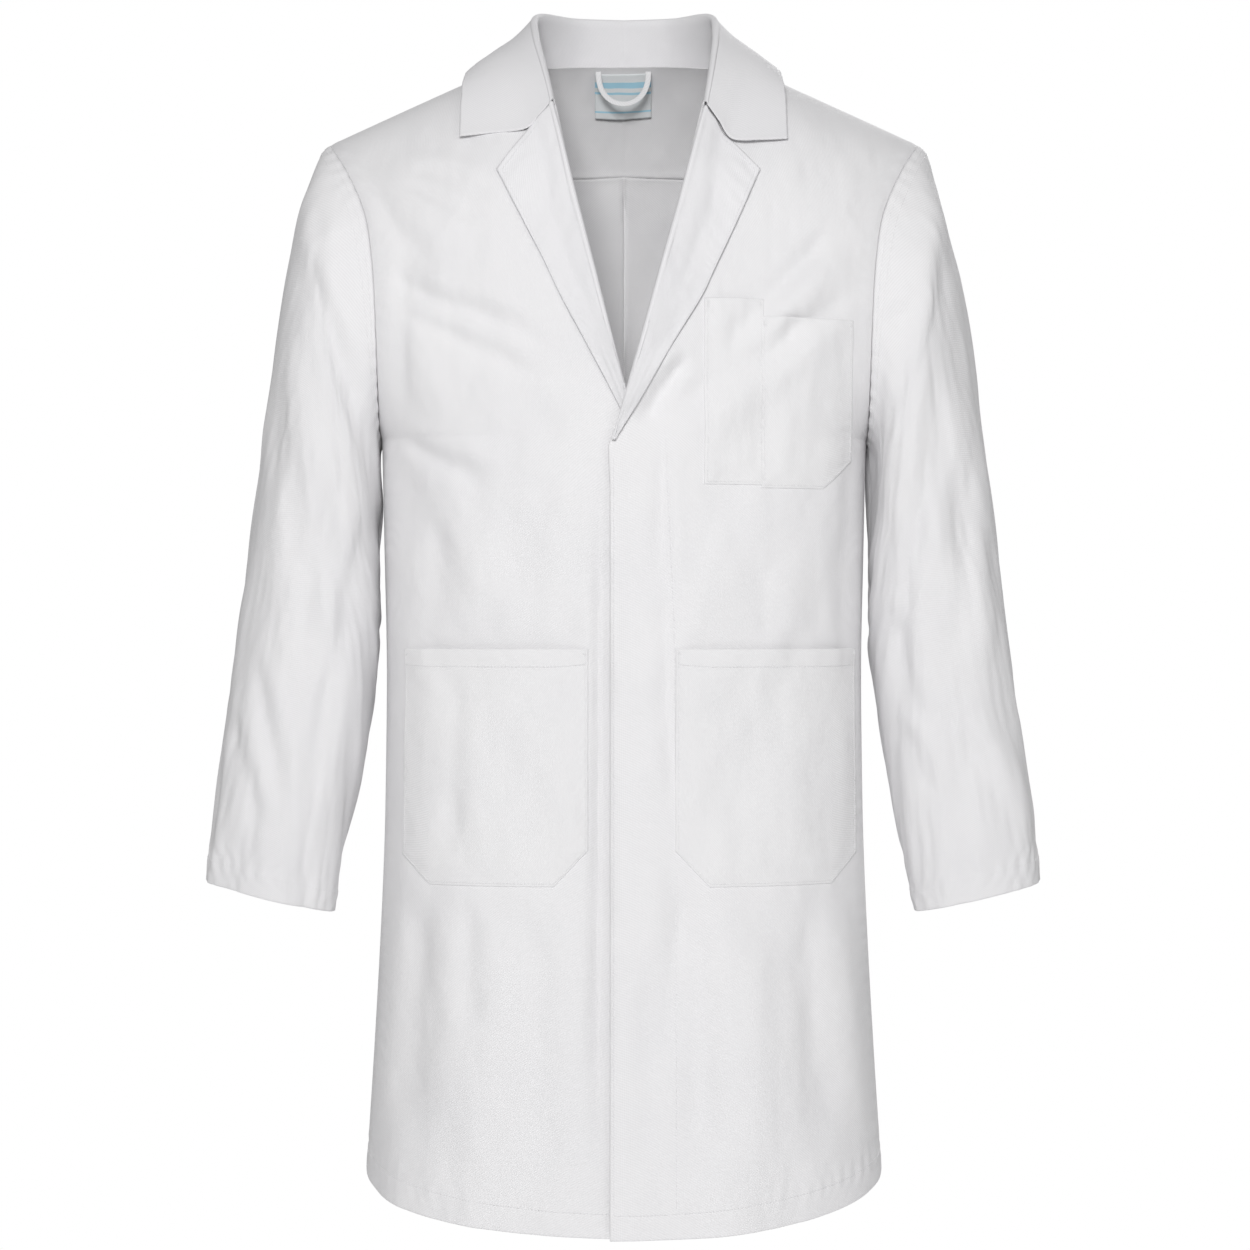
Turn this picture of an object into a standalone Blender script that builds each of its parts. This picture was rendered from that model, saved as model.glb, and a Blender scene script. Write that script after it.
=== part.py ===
"""Lab coat: white work coat with a notched collar, concealed press-stud front, three patch pockets and long sleeves.

Metres, +Z up, -Y is the coat's front, +X is the wearer's left. The origin is the point where the coat is carried:
the middle of the neck, at the height of the shoulder neck points.
"""
import math

import bmesh
import bpy
from mathutils import Vector

# ---------------------------------------------------------------- driving dimensions
CLOTH = 0.0012          # thickness of one closed cloth solid
GAP = 0.0004            # clearance between neighbours that are sewn together
ROUND = 2.4             # roundness of the body's cross-section

NECK_X = 0.125          # shoulder neck point, half width
SHOULDER_X = 0.2600     # shoulder point, half width
SHOULDER_Z = -0.0620
SHOULDER_ROLL = 0.130   # height over which the top of the shoulder rounds over
ARMPIT_Z = -0.325
HEM_FRONT_Z = -1.000    # lowest point of the hem, at centre front and centre back
HEM_SIDE_Z = -0.957     # hem at the side seams

YOKE_Z = -0.074         # lower edge of the back yoke
SIDE_GAP = 0.0016       # clearance at the side seams, where the fronts swing

EDGE_LEFT = -0.0105     # wearer's left front edge, on top, past the centre line
EDGE_RIGHT = 0.0300     # wearer's right front edge, underneath, as a distance past the centre line
OVERLAP = 0.0042        # each front stands this far from the middle surface at the overlap
BREAK_Z = -0.335        # where the lapel's roll line meets the front edge
ROLL_TOP = (0.0690, -0.0450)

SLEEVE_SWING_DEG = (-20, 60)

FLAP_TOP = 0.905        # level, from hem to shoulder seam, above which a front stays with the shoulders
HINGE_TOP = Vector((0.140, -0.0960, -0.050))      # the line that each front opens about
HINGE_BOTTOM = Vector((0.195, -0.0930, -1.000))

STUD_X = 0.0095
STUD_Z = (-0.372, -0.510, -0.648, -0.786, -0.924)

# half width of the coat at a height
SIDE_X = [(-1.00, 0.2285), (-0.957, 0.2265), (-0.86, 0.2205), (-0.76, 0.2150), (-0.676, 0.2115), (-0.61, 0.2102),
          (-0.518, 0.2095), (-0.42, 0.2115), (-0.325, 0.2135)]
# half width of the armhole seam at a height
HOLE_X = [(-0.325, 0.2135), (-0.30, 0.2125), (-0.22, 0.2130), (-0.165, 0.2170), (-0.131, 0.2235), (-0.09, 0.2420),
          (-0.062, 0.2600)]
# depth of the front and of the back from the middle plane
FRONT_Y = [(-1.00, 0.152), (-0.85, 0.143), (-0.70, 0.134), (-0.55, 0.127), (-0.42, 0.130), (-0.30, 0.136), (-0.20, 0.133),
           (-0.12, 0.120), (-0.05, 0.104), (0.02, 0.086)]
BACK_Y = [(-1.00, 0.150), (-0.85, 0.142), (-0.70, 0.130), (-0.55, 0.112), (-0.45, 0.106), (-0.33, 0.116), (-0.20, 0.124),
          (-0.12, 0.119), (-0.05, 0.108), (0.04, 0.092)]


# ---------------------------------------------------------------- helpers
def smooth(t):
    t = min(max(t, 0.0), 1.0)
    return t * t * (3 - 2 * t)


def lookup(table, x):
    """A smooth curve through a table's points, by Hermite pieces."""
    if x <= table[0][0]:
        return table[0][1]
    if x >= table[-1][0]:
        return table[-1][1]
    k = max(i for i in range(len(table) - 1) if table[i][0] <= x)
    (x0, y0), (x1, y1) = table[k], table[k + 1]
    slope = (y1 - y0) / (x1 - x0)
    before = (y0 - table[k - 1][1]) / (x0 - table[k - 1][0]) if k > 0 else slope
    after = (table[k + 2][1] - y1) / (table[k + 2][0] - x1) if k + 2 < len(table) else slope
    m0, m1 = (before + slope) / 2, (slope + after) / 2
    h, t = x1 - x0, (x - x0) / (x1 - x0)
    return ((2 * t**3 - 3 * t**2 + 1) * y0 + (t**3 - 2 * t**2 + t) * h * m0
            + (-2 * t**3 + 3 * t**2) * y1 + (t**3 - t**2) * h * m1)


def spline(points, t):
    """A Catmull-Rom curve through points, t from 0 to 1."""
    n = len(points) - 1
    k = min(int(t * n), n - 1)
    f = t * n - k
    p1, p2 = Vector(points[k]), Vector(points[k + 1])
    p0 = Vector(points[k - 1]) if k > 0 else 2 * p1 - p2
    p3 = Vector(points[k + 2]) if k + 2 <= n else 2 * p2 - p1
    return 0.5 * (2 * p1 + (p2 - p0) * f + (2 * p0 - 5 * p1 + 4 * p2 - p3) * f**2 + (3 * p1 - p0 - 3 * p2 + p3) * f**3)


def shoulder_line(x):
    slope = -SHOULDER_Z / (SHOULDER_X - NECK_X)
    return slope * (NECK_X - math.sqrt(x * x + 0.0009))


def hole_ratio(z):
    """How far the armhole reaches to the front and back at a height, as a part of the body's depth there."""
    s = min(max((z - ARMPIT_Z) / 0.120, 0.0), 1.0)
    return 0.72 * math.sqrt(1 - (1 - s) ** 2)


def half_width(z):
    """The cross-section's half width: the side seam's below the armpit, wider above it, where the armhole cuts it."""
    if z <= ARMPIT_Z:
        return lookup(SIDE_X, z)
    r = hole_ratio(z)
    return lookup(HOLE_X, z) / (1 - r**ROUND) ** (1 / ROUND)


def outline_x(z):
    """Where a panel ends at a height: the side seam or the armhole seam."""
    return lookup(SIDE_X, z) if z <= ARMPIT_Z else lookup(HOLE_X, z)


def depth(x, z, front):
    a = half_width(z)
    c = (1 - min(abs(x) / a, 1.0) ** ROUND) ** (1 / ROUND)
    t = min(max((shoulder_line(x) - z) / SHOULDER_ROLL, 0.0), 1.0)
    g = math.sqrt(1 - (1 - t) ** 2)
    return lookup(FRONT_Y if front else BACK_Y, z) * c * g


def angle_of(x, z):
    return math.asin(min((abs(x) / half_width(z)) ** (ROUND / 2), 1.0))


def on_body(a, z, front, side):
    """The point at cross-section angle a (0 at the centre, 90 degrees at the side)."""
    x = half_width(z) * math.sin(a) ** (2 / ROUND) if a > 0 else 0.0
    y = depth(x, z, front)
    return Vector((side * x, -y if front else y, z))


def body_point(x, z, front, off=0.0):
    """The point of the body's surface at (x, z), pushed out by off along the surface's normal."""
    side = -1 if x < 0 else 1
    sign = -1 if front else 1
    here = Vector((x, sign * depth(x, z, front), z))
    if off == 0.0:
        return here
    e = 0.0015
    x0, x1 = x - side * e, x
    z0, z1 = z - e, z
    dx = Vector((x1 - x0, sign * (depth(x1, z, front) - depth(x0, z, front)), 0))
    dz = Vector((0, sign * (depth(x, z1, front) - depth(x, z0, front)), z1 - z0))
    normal = dx.cross(dz).normalized()
    if normal.y * sign < 0:
        normal = -normal
    return here + normal * off


def overlap_off(x, side):
    """The wearer's left front lies over the right one at the centre."""
    return side * OVERLAP * (1 - smooth((abs(x) - 0.045) / 0.065))


def front_edge_x(z, side):
    """Signed distance of a front's inner edge from the centre, measured towards its own side."""
    if z <= BREAK_Z:
        edge = EDGE_LEFT if side > 0 else -EDGE_RIGHT
        if side < 0:
            edge = -EDGE_RIGHT * (1 - smooth((z + 0.375) / 0.04)) + EDGE_LEFT * smooth((z + 0.375) / 0.04)
        return edge
    t = (z - BREAK_Z) / (ROLL_TOP[1] - BREAK_Z)
    return EDGE_LEFT + (ROLL_TOP[0] - EDGE_LEFT) * t


def hem_z(t):
    """Hem height along a panel, t = 0 at the centre and 1 at the side seam."""
    return HEM_FRONT_Z + (HEM_SIDE_Z - HEM_FRONT_Z) * t**1.7


# ---------------------------------------------------------------- objects
for old in list(bpy.data.objects):
    bpy.data.objects.remove(old, do_unlink=True)

coat = bpy.data.collections.new("lab_coat")
bpy.context.scene.collection.children.link(coat)
guides = bpy.data.collections.new("lab_coat_guides")
bpy.context.scene.collection.children.link(guides)

MATERIALS = {}


def material(name, colour, roughness, metallic=0.0):
    if name not in MATERIALS:
        m = bpy.data.materials.new(name)
        m.use_nodes = True
        shader = m.node_tree.nodes["Principled BSDF"]
        shader.inputs["Base Color"].default_value = (*colour, 1.0)
        shader.inputs["Roughness"].default_value = roughness
        shader.inputs["Metallic"].default_value = metallic
        MATERIALS[name] = m
    return MATERIALS[name]


def cotton():
    return material("white_polycotton", (0.86, 0.86, 0.87), 0.85)


def empty(name, location, direction=None):
    e = bpy.data.objects.new(name, None)
    e.empty_display_size = 0.04
    e.location = location
    if direction is not None:
        e.rotation_mode = "QUATERNION"
        e.rotation_quaternion = Vector(direction).to_track_quat("Z", "Y")
    guides.objects.link(e)
    return e


def add(name, mesh, mat, parent=None, origin=None):
    obj = bpy.data.objects.new(name, mesh)
    coat.objects.link(obj)
    mesh.materials.append(mat)
    if parent is not None:
        bpy.context.view_layer.update()
        obj.parent = parent
        obj.matrix_parent_inverse = parent.matrix_world.inverted()
    return obj


def sheet(name, cols, rows, place, thickness=CLOTH, mat=None, parent=None, closed=False):
    """A grid of cols by rows faces, laid on place(u, v) and given its thickness."""
    mesh = bpy.data.meshes.new(name)
    bm = bmesh.new()
    bmesh.ops.create_grid(bm, x_segments=cols, y_segments=rows, size=0.5)
    for v in bm.verts:
        v.co = place(v.co.x + 0.5, v.co.y + 0.5)
    if closed:
        bmesh.ops.remove_doubles(bm, verts=bm.verts, dist=0.00005)
    bmesh.ops.recalc_face_normals(bm, faces=bm.faces)
    bm.to_mesh(mesh)
    bm.free()
    obj = add(name, mesh, mat or cotton(), parent)
    solid = obj.modifiers.new("cloth", "SOLIDIFY")
    solid.thickness = thickness
    solid.offset = 0.0
    solid.use_even_offset = False
    mesh.shade_smooth()
    mesh.set_sharp_from_angle(angle=math.radians(40))
    return obj


# the lines and points that the moving pieces turn about
torso = empty("carry_point", (0, 0, 0))
front_hinge = {}
shoulder = {}
for side, word in ((1, "left"), (-1, "right")):
    top = Vector((side * HINGE_TOP.x, HINGE_TOP.y, HINGE_TOP.z))
    bottom = Vector((side * HINGE_BOTTOM.x, HINGE_BOTTOM.y, HINGE_BOTTOM.z))
    front_hinge[side] = empty(f"front_hinge_{word}", top, top - bottom)
    shoulder[side] = empty(f"shoulder_{word}", (side * 0.240, 0, -0.190), (-1, 0, 0))

# ---------------------------------------------------------------- body panels
def front_place(side, low, high, bunch):
    """A front between two levels, 0 at the hem and 1 at the shoulder seam, with its rows closer together towards the top."""
    def place(u, v):
        w = low + (high - low) * (1 - (1 - v) ** bunch)
        z_out = HEM_SIDE_Z + (SHOULDER_Z - 0.0008 - HEM_SIDE_Z) * w
        top_in = shoulder_line(0.112)
        z_in = HEM_FRONT_Z + (top_in - HEM_FRONT_Z) * w
        if z_in < ROLL_TOP[1]:
            x_in = front_edge_x(z_in, side)
        else:
            f = (z_in - ROLL_TOP[1]) / (top_in - ROLL_TOP[1])
            x_in = ROLL_TOP[0] + (0.112 - ROLL_TOP[0]) * f
        z = z_in + (z_out - z_in) * u ** (1.7 - 0.7 * smooth((w - 0.25) / 0.5))
        x_out = outline_x(z_out if u > 0.999 else z)
        x_end = outline_x(z)
        # the angle is shared out evenly between the two ends
        a_in = math.copysign(angle_of(x_in, z), x_in)
        a_out = math.asin(min((x_end / half_width(z)) ** (ROUND / 2), 1.0))
        a = a_in + (a_out - a_in) * u
        x = math.copysign(half_width(z) * abs(math.sin(a)) ** (2 / ROUND), a)
        p = body_point(side * x if side * x != 0 else 1e-6, z, True, 0.0)
        if a > math.radians(89.5):
            p.y = -SIDE_GAP / 2
        p.y = min(p.y, -SIDE_GAP / 2)
        p.y -= overlap_off(x, side)
        return p
    return place


def back_place(side):
    def place(u, v):
        w = v
        z_in = HEM_FRONT_Z + (YOKE_Z - 0.0012 - HEM_FRONT_Z) * w
        z_out = HEM_SIDE_Z + (YOKE_Z - 0.0112 - HEM_SIDE_Z) * w
        z = z_in + (z_out - z_in) * u
        for _ in range(3):     # the upper edge falls in step with x, to run along the yoke's
            reach = math.asin(min((outline_x(z) / half_width(z)) ** (ROUND / 2), 1.0)) * u
            along = half_width(z) * math.sin(reach) ** (2 / ROUND) / outline_x(z) if u > 0 else 0.0
            z = z_in + (z_out - z_in) * (u**1.7 * (1 - w) + along * w)
        a_in = angle_of(0.0003, z)
        a_out = math.asin(min((outline_x(z) / half_width(z)) ** (ROUND / 2), 1.0))
        a = a_in + (a_out - a_in) * u
        x = half_width(z) * math.sin(a) ** (2 / ROUND)
        p = body_point(side * x, z, False)
        p.y = max(p.y, SIDE_GAP / 2)
        return p
    return place


def neck_seam(t):
    """The seam between the yoke and the collar, t from 0 at the wearer's right shoulder to 1 at the left."""
    a = math.pi * t
    x = -0.104 * math.cos(a)
    z = 0.0035 + 0.013 * math.sin(a) ** 1.3
    return x, z


def yoke_place(u, v):
    """u across the back from right to left, v from the lower edge up to the shoulder and neck seams."""
    x_low = (2 * u - 1) * (lookup(HOLE_X, YOKE_Z - 0.010) - 0.0005)
    z_low = YOKE_Z + GAP - 0.010 * abs(2 * u - 1)
    # upper edge: shoulder seam, neck seam, shoulder seam
    if u < 0.27:
        f = u / 0.27
        x_top = -(SHOULDER_X - 0.003) + (SHOULDER_X - 0.003 - 0.108) * f
        z_top = shoulder_line(x_top)
    elif u > 0.73:
        f = (1 - u) / 0.27
        x_top = (SHOULDER_X - 0.003) - (SHOULDER_X - 0.003 - 0.108) * f
        z_top = shoulder_line(x_top)
    else:
        f = (u - 0.27) / 0.46
        x_top = -0.108 + 0.216 * f
        z0 = shoulder_line(0.108)
        z_top = z0 + (0.0150 - z0) * math.sin(math.pi * f) ** 0.8
    w = 1 - (1 - v) ** 1.7
    x = x_low + (x_top - x_low) * w
    z = z_low + (z_top - z_low) * w
    p = body_point(x if abs(x) > 1e-6 else 1e-6, z, False)
    p.y = max(p.y, SIDE_GAP / 2)
    return p


for side, word in ((1, "left"), (-1, "right")):
    sheet(f"front_panel_{word}", 13, 17, front_place(side, 0.0, FLAP_TOP - 0.0040, 1.3), parent=front_hinge[side])
    sheet(f"front_shoulder_{word}", 10, 5, front_place(side, FLAP_TOP + 0.0009, 1.0, 1.8), parent=torso)
    sheet(f"back_panel_{word}", 9, 15, back_place(side), parent=torso)
sheet("back_yoke", 24, 5, yoke_place, parent=torso)

# ---------------------------------------------------------------- collar
FOLD = [(0, 0.0740, 0.0600), (0.045, 0.0620, 0.0595), (0.0775, 0.0220, 0.0560), (0.0815, -0.0220, 0.0330),
        (0.0775, -0.0600, 0.0000), (0.0700, -0.0900, -0.0380)]
EDGE = [(0, 0.1110, -0.0060), (0.062, 0.1020, -0.0050), (0.108, 0.0640, -0.0080), (0.1300, 0.0080, 0.0050),
        (0.1365, -0.0470, -0.0120), (0.1370, -0.0860, -0.0640)]
SEAM = [(0, 0.0760, 0.0190), (0.050, 0.0690, 0.0180), (0.0880, 0.0330, 0.0120), (0.0960, -0.0150, 0.0050),
        (0.0860, -0.0560, -0.0100), (0.0720, -0.0860, -0.0400)]


def mirrored(points, t):
    """A curve given for one half, t from -1 to 1 across both halves."""
    p = spline(points, abs(t))
    return Vector((math.copysign(p.x, t) if t else 0.0, p.y, p.z))


def collar_fall_place(u, v):
    t = 2 * u - 1
    top, low = mirrored(FOLD, t), mirrored(EDGE, t)
    out = Vector((low.x - top.x, low.y - top.y, 0))
    out = out.normalized() if out.length > 1e-6 else Vector((0, 1, 0))
    bulge = out * (0.010 * (1 - abs(t) ** 4))
    mid = (top + low) / 2 + bulge + Vector((0, 0, 0.008))
    if abs(t) > 0.9:                       # the gorge end dips below the straight line
        mid += Vector((0, -0.006, -0.012)) * ((abs(t) - 0.9) / 0.1)
    w = v
    return top * (1 - w) ** 2 + mid * (2 * w * (1 - w)) + low * w**2 + out * 0.0012


def collar_stand_place(u, v):
    t = (2 * u - 1) * 0.90
    top, low = mirrored(FOLD, t), mirrored(SEAM, t)
    inward = Vector((-top.x, -top.y, 0)).normalized() * 0.0008
    return low + (top - low) * v + inward - Vector((0, 0, 0.0012)) * v


sheet("collar_fall", 28, 4, collar_fall_place, parent=torso)
sheet("collar_stand", 26, 2, collar_stand_place, parent=torso)

# ---------------------------------------------------------------- lapels
LAPEL = [(-0.0060, -0.3300), (0.0140, -0.2940), (0.0400, -0.2450), (0.0610, -0.2060), (0.0740, -0.1800), (0.0940, -0.1390),
         (0.1130, -0.0990)]


def lapel_place(side):
    def place(u, v):
        w = v
        z_roll = BREAK_Z + 0.006 + (ROLL_TOP[1] - 0.006 - BREAK_Z - 0.006) * w
        x_roll = front_edge_x(z_roll, 1) + 0.0015
        k = 0.02 + 0.98 * w
        tip = spline([(x, 0, z) for x, z in LAPEL], k)
        x = x_roll + (max(tip.x, x_roll + 0.004) - x_roll) * u
        z = z_roll + (tip.z - z_roll) * u
        p = body_point(side * x if abs(x) > 1e-6 else 1e-6, z, True, 0.0034)
        p.y -= overlap_off(x, side)
        return p
    return place


for side, word in ((1, "left"), (-1, "right")):
    sheet(f"lapel_{word}", 4, 11, lapel_place(side), parent=front_hinge[side])

# ---------------------------------------------------------------- pockets
def patch_place(side, x0, x1, z_top, z_bottom, chamfer_in, chamfer_out, off):
    """A patch on a front, from x0 to x1, whose lower corners are cut."""
    def place(u, v):
        lift = 0.0
        if u < chamfer_in[0]:
            lift = chamfer_in[1] * (1 - u / chamfer_in[0])
        if u > 1 - chamfer_out[0]:
            lift = chamfer_out[1] * (1 - (1 - u) / chamfer_out[0])
        z = (z_bottom + lift) + (z_top - z_bottom - lift) * v
        x = x0 + (x1 - x0) * u
        p = body_point(side * x, z, True, off)
        p.y -= overlap_off(x, side)
        return p
    return place


POCKET_OFF = CLOTH + 0.0027
HIP_POCKET = {1: (0.0445, 0.2000), -1: (0.0310, 0.1865)}       # inner and outer edge of each hip pocket
HIP_TOP, HIP_BAND, HIP_BOTTOM = -0.5070, -0.5225, -0.7065
CHEST_POCKET = (0.1190, 0.1860, -0.2265, -0.3690)
PEN_POCKET = (0.0690, 0.1183, -0.2115, -0.3665)

for side, word in ((1, "left"), (-1, "right")):
    inner, outer = HIP_POCKET[side]
    sheet(f"lower_pocket_{word}", 9, 7, patch_place(side, inner, outer, HIP_BAND - 0.0004, HIP_BOTTOM, (0.18, 0.030), (0.15, 0.024), POCKET_OFF),
          parent=front_hinge[side])
    sheet(f"lower_pocket_hem_{word}", 9, 1, patch_place(side, inner, outer, HIP_TOP, HIP_BAND + 0.0004, (0.001, 0), (0.001, 0), POCKET_OFF),
          parent=front_hinge[side])
x0, x1, z0, z1 = CHEST_POCKET
sheet("chest_pocket", 7, 6, patch_place(1, x0, x1, z0, z1, (0.001, 0), (0.34, 0.026), POCKET_OFF), parent=front_hinge[1])
x0, x1, z0, z1 = PEN_POCKET
sheet("pen_pocket", 3, 6, patch_place(1, x0, x1, z0, z1, (0.12, 0.004), (0.001, 0), POCKET_OFF), parent=front_hinge[1])

# ---------------------------------------------------------------- fly placket and press studs
def placket_place(u, v):
    x = -0.0075 + 0.048 * u
    z = -0.966 + (-0.352 + 0.966) * v
    p = body_point(x if abs(x) > 1e-6 else 1e-6, z, True)
    p.y -= overlap_off(x, 1) - CLOTH - 0.0008
    return p


sheet("fly_placket", 3, 16, placket_place, parent=front_hinge[1])

metal = ("press_stud_metal", (0.78, 0.78, 0.80), 0.28, 1.0)


def turned(name, profile, centre, parent):
    """A profile of (radius, height) turned about the stud's own axis, which points to the front."""
    mesh = bpy.data.meshes.new(name)
    bm = bmesh.new()
    verts = [bm.verts.new((r, 0, h)) for r, h in profile]
    for a, b in zip(verts, verts[1:]):
        bm.edges.new((a, b))
    bm.to_mesh(mesh)
    bm.free()
    obj = add(name, mesh, material(*metal), None)
    screw = obj.modifiers.new("turn", "SCREW")
    screw.steps = screw.render_steps = 12
    screw.use_merge_vertices = True
    screw.merge_threshold = 0.00005
    obj.location = centre
    obj.rotation_euler = (math.radians(90), 0, 0)
    bpy.context.view_layer.update()
    obj.parent = parent
    obj.matrix_parent_inverse = parent.matrix_world.inverted()
    return obj


for k, z in enumerate(STUD_Z, 1):
    y_left = -depth(STUD_X, z, True) - OVERLAP + CLOTH + 0.0006 + CLOTH / 2 + 0.0007    # inner face of the placket
    y_right = -depth(STUD_X, z, True) + OVERLAP - CLOTH / 2 - 0.0007               # outer face of the right front
    # socket: a ring with a closed back, open towards the right front; heights run to the front
    turned(f"stud_socket_{k}", [(0.0, 0.0), (0.0064, 0.0), (0.0064, -0.0018), (0.0040, -0.0018), (0.0040, -0.0007), (0.0, -0.0007)],
           (STUD_X, y_left, z), front_hinge[1])
    # post: a disc with a round button on it
    turned(f"stud_post_{k}", [(0.0, 0.0023), (0.0015, 0.0022), (0.0024, 0.0016), (0.0024, 0.0008), (0.0060, 0.0008), (0.0060, 0.0), (0.0, 0.0)],
           (STUD_X, y_right, z), front_hinge[-1])

# ---------------------------------------------------------------- sleeves
# outer and inner points of each ring, and its half depth front to back
RINGS = [((0.2760, -0.0980), (0.2160, -0.3520), 0.0960), ((0.2905, -0.1600), (0.2160, -0.3830), 0.0970),
         ((0.3020, -0.2250), (0.2160, -0.4130), 0.0930), ((0.3130, -0.2950), (0.2158, -0.4430), 0.0870),
         ((0.3230, -0.3650), (0.2155, -0.4750), 0.0820), ((0.3320, -0.4300), (0.2165, -0.5100), 0.0770),
         ((0.3415, -0.5000), (0.2225, -0.5600), 0.0710), ((0.3510, -0.5700), (0.2325, -0.6150), 0.0640),
         ((0.3590, -0.6350), (0.2440, -0.6700), 0.0560), ((0.3655, -0.6900), (0.2545, -0.7200), 0.0490),
         ((0.3675, -0.7100), (0.2580, -0.7365), 0.0470)]


def armhole_point(a, side):
    """A point of the armhole seam, a = 0 at the shoulder point, to the front first, just outside the body panels."""
    zc, hz = (SHOULDER_Z + ARMPIT_Z) / 2, (SHOULDER_Z - ARMPIT_Z) / 2
    z = zc + hz * 0.985 * math.cos(a)
    x = lookup(HOLE_X, z)
    y = depth(x, z, math.sin(a) >= 0) * 0.97
    clear = 0.0038 + 0.0115 * min(1.6 * math.sin(a) ** 2, 1.0)     # room to swing past the wider upper edge
    return Vector((side * (x + clear * smooth((0.26 - x) / 0.02) + 0.0035 * (1 - smooth((0.26 - x) / 0.02))), -y if math.sin(a) >= 0 else y, z))


def ring_point(k, a, side):
    (xo, zo), (xi, zi), d = RINGS[k]
    c, s = math.cos(a), math.sin(a)
    cc = math.copysign(abs(c) ** 0.92, c)
    ss = math.copysign(abs(s) ** 0.92, s)
    x = (xo + xi) / 2 + (xo - xi) / 2 * cc
    z = (zo + zi) / 2 + (zo - zi) / 2 * cc
    return Vector((side * x, -d * ss - 0.004, z))


def sleeve_place(side):
    n = len(RINGS)

    def place(u, v):
        a = 2 * math.pi * u
        t = v * n
        k = int(round(t))
        return armhole_point(a, side) if k == 0 else ring_point(k - 1, a, side)
    return place


def cuff_place(side):
    def place(u, v):
        a = 2 * math.pi * u
        p, q = ring_point(len(RINGS) - 2, a, side), ring_point(len(RINGS) - 1, a, side)
        c = (ring_point(len(RINGS) - 1, 0, side) + ring_point(len(RINGS) - 1, math.pi, side)) / 2
        w = p + (q - p) * (0.05 + 0.93 * v)
        inward = c - w
        inward.z = 0
        return w + inward.normalized() * (CLOTH + 0.0010)
    return place


for side, word in ((1, "left"), (-1, "right")):
    sheet(f"sleeve_{word}", 20, len(RINGS), sleeve_place(side), parent=shoulder[side], closed=True)
    sheet(f"cuff_hem_{word}", 20, 1, cuff_place(side), parent=shoulder[side], closed=True)

# ---------------------------------------------------------------- neck label and hanger loop
def label_place(u, v):
    x = -0.0270 + 0.0520 * u
    z = 0.0140 - 0.0360 * v
    p = body_point(x if abs(x) > 1e-6 else 1e-6, z, False)
    p.y -= 0.0042
    return p


sheet("neck_label", 4, 4, label_place, thickness=0.0006, mat=material("label_weave", (0.82, 0.84, 0.86), 0.7), parent=torso)

loop_axis = empty("loop_hinge", (0.0, 0.0525, 0.0150), (-1, 0, 0))
loop = bpy.data.curves.new("hanger_loop", "CURVE")
loop.dimensions = "3D"
loop.bevel_depth = 0.0016
loop.bevel_resolution = 2
loop.use_fill_caps = True
line = loop.splines.new("POLY")
count = 13
line.points.add(count - 1)
for k in range(count):
    a = math.pi * k / (count - 1)
    line.points[k].co = (-0.0225 * math.cos(a) - 0.0005, 0.0525 + 0.0020 * math.sin(a), 0.0130 - 0.0290 * math.sin(a) ** 0.8, 1.0)
loop_object = bpy.data.objects.new("hanger_loop", loop)
coat.objects.link(loop_object)
loop.materials.append(material("loop_tape", (0.90, 0.90, 0.91), 0.7))
bpy.context.view_layer.update()
loop_object.parent = loop_axis
loop_object.matrix_parent_inverse = loop_axis.matrix_world.inverted()
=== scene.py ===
"""The looks of the lab coat: cloth, collar, lapels, pockets, stitches, studs, label and loop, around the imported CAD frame.

Metres, +Z up, -Y is the coat's front, +X is the wearer's left. The cloth's shape repeats part.py's outlines, with
its folds, turned hems, rolled lapels and puckered seams added by displacement in code.
"""
import math

import bpy
import numpy as np
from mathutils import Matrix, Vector


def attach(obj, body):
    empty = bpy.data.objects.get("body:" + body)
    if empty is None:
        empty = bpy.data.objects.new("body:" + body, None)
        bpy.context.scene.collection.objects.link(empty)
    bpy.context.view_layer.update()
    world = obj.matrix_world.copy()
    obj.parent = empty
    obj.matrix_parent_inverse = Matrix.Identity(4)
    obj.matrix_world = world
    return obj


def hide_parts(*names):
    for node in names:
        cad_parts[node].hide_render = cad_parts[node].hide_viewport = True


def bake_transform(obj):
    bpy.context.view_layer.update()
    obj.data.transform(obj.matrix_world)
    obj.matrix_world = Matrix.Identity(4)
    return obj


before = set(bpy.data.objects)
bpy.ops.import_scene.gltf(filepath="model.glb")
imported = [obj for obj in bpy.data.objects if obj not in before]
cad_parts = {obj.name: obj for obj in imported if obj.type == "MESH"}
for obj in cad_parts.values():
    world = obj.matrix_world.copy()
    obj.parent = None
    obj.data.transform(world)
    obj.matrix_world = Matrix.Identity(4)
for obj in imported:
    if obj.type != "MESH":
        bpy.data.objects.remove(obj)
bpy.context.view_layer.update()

# ---------------------------------------------------------------- the coat's dimensions, as in part.py
CLOTH = 0.0008
ROUND = 2.4
NECK_X = 0.125
SHOULDER_X = 0.2600
SHOULDER_Z = -0.0620
SHOULDER_ROLL = 0.130
ARMPIT_Z = -0.325
HEM_FRONT_Z = -1.000
HEM_SIDE_Z = -0.957
YOKE_Z = -0.074
EDGE_LEFT = -0.0105
EDGE_RIGHT = 0.0300
OVERLAP = 0.0042
BREAK_Z = -0.335
ROLL_TOP = (0.0690, -0.0450)
ROLL = {1: (-0.0118, 0.0672), -1: (-0.0152, 0.0586)}     # each roll line's distance from the centre, at the break and at the top
HINGE_TOP = (0.140, -0.0960, -0.050)
HINGE_BOTTOM = (0.195, -0.0930, -1.000)
STUD_X = 0.0095
STUD_Z = (-0.372, -0.510, -0.648, -0.786, -0.924)

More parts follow.
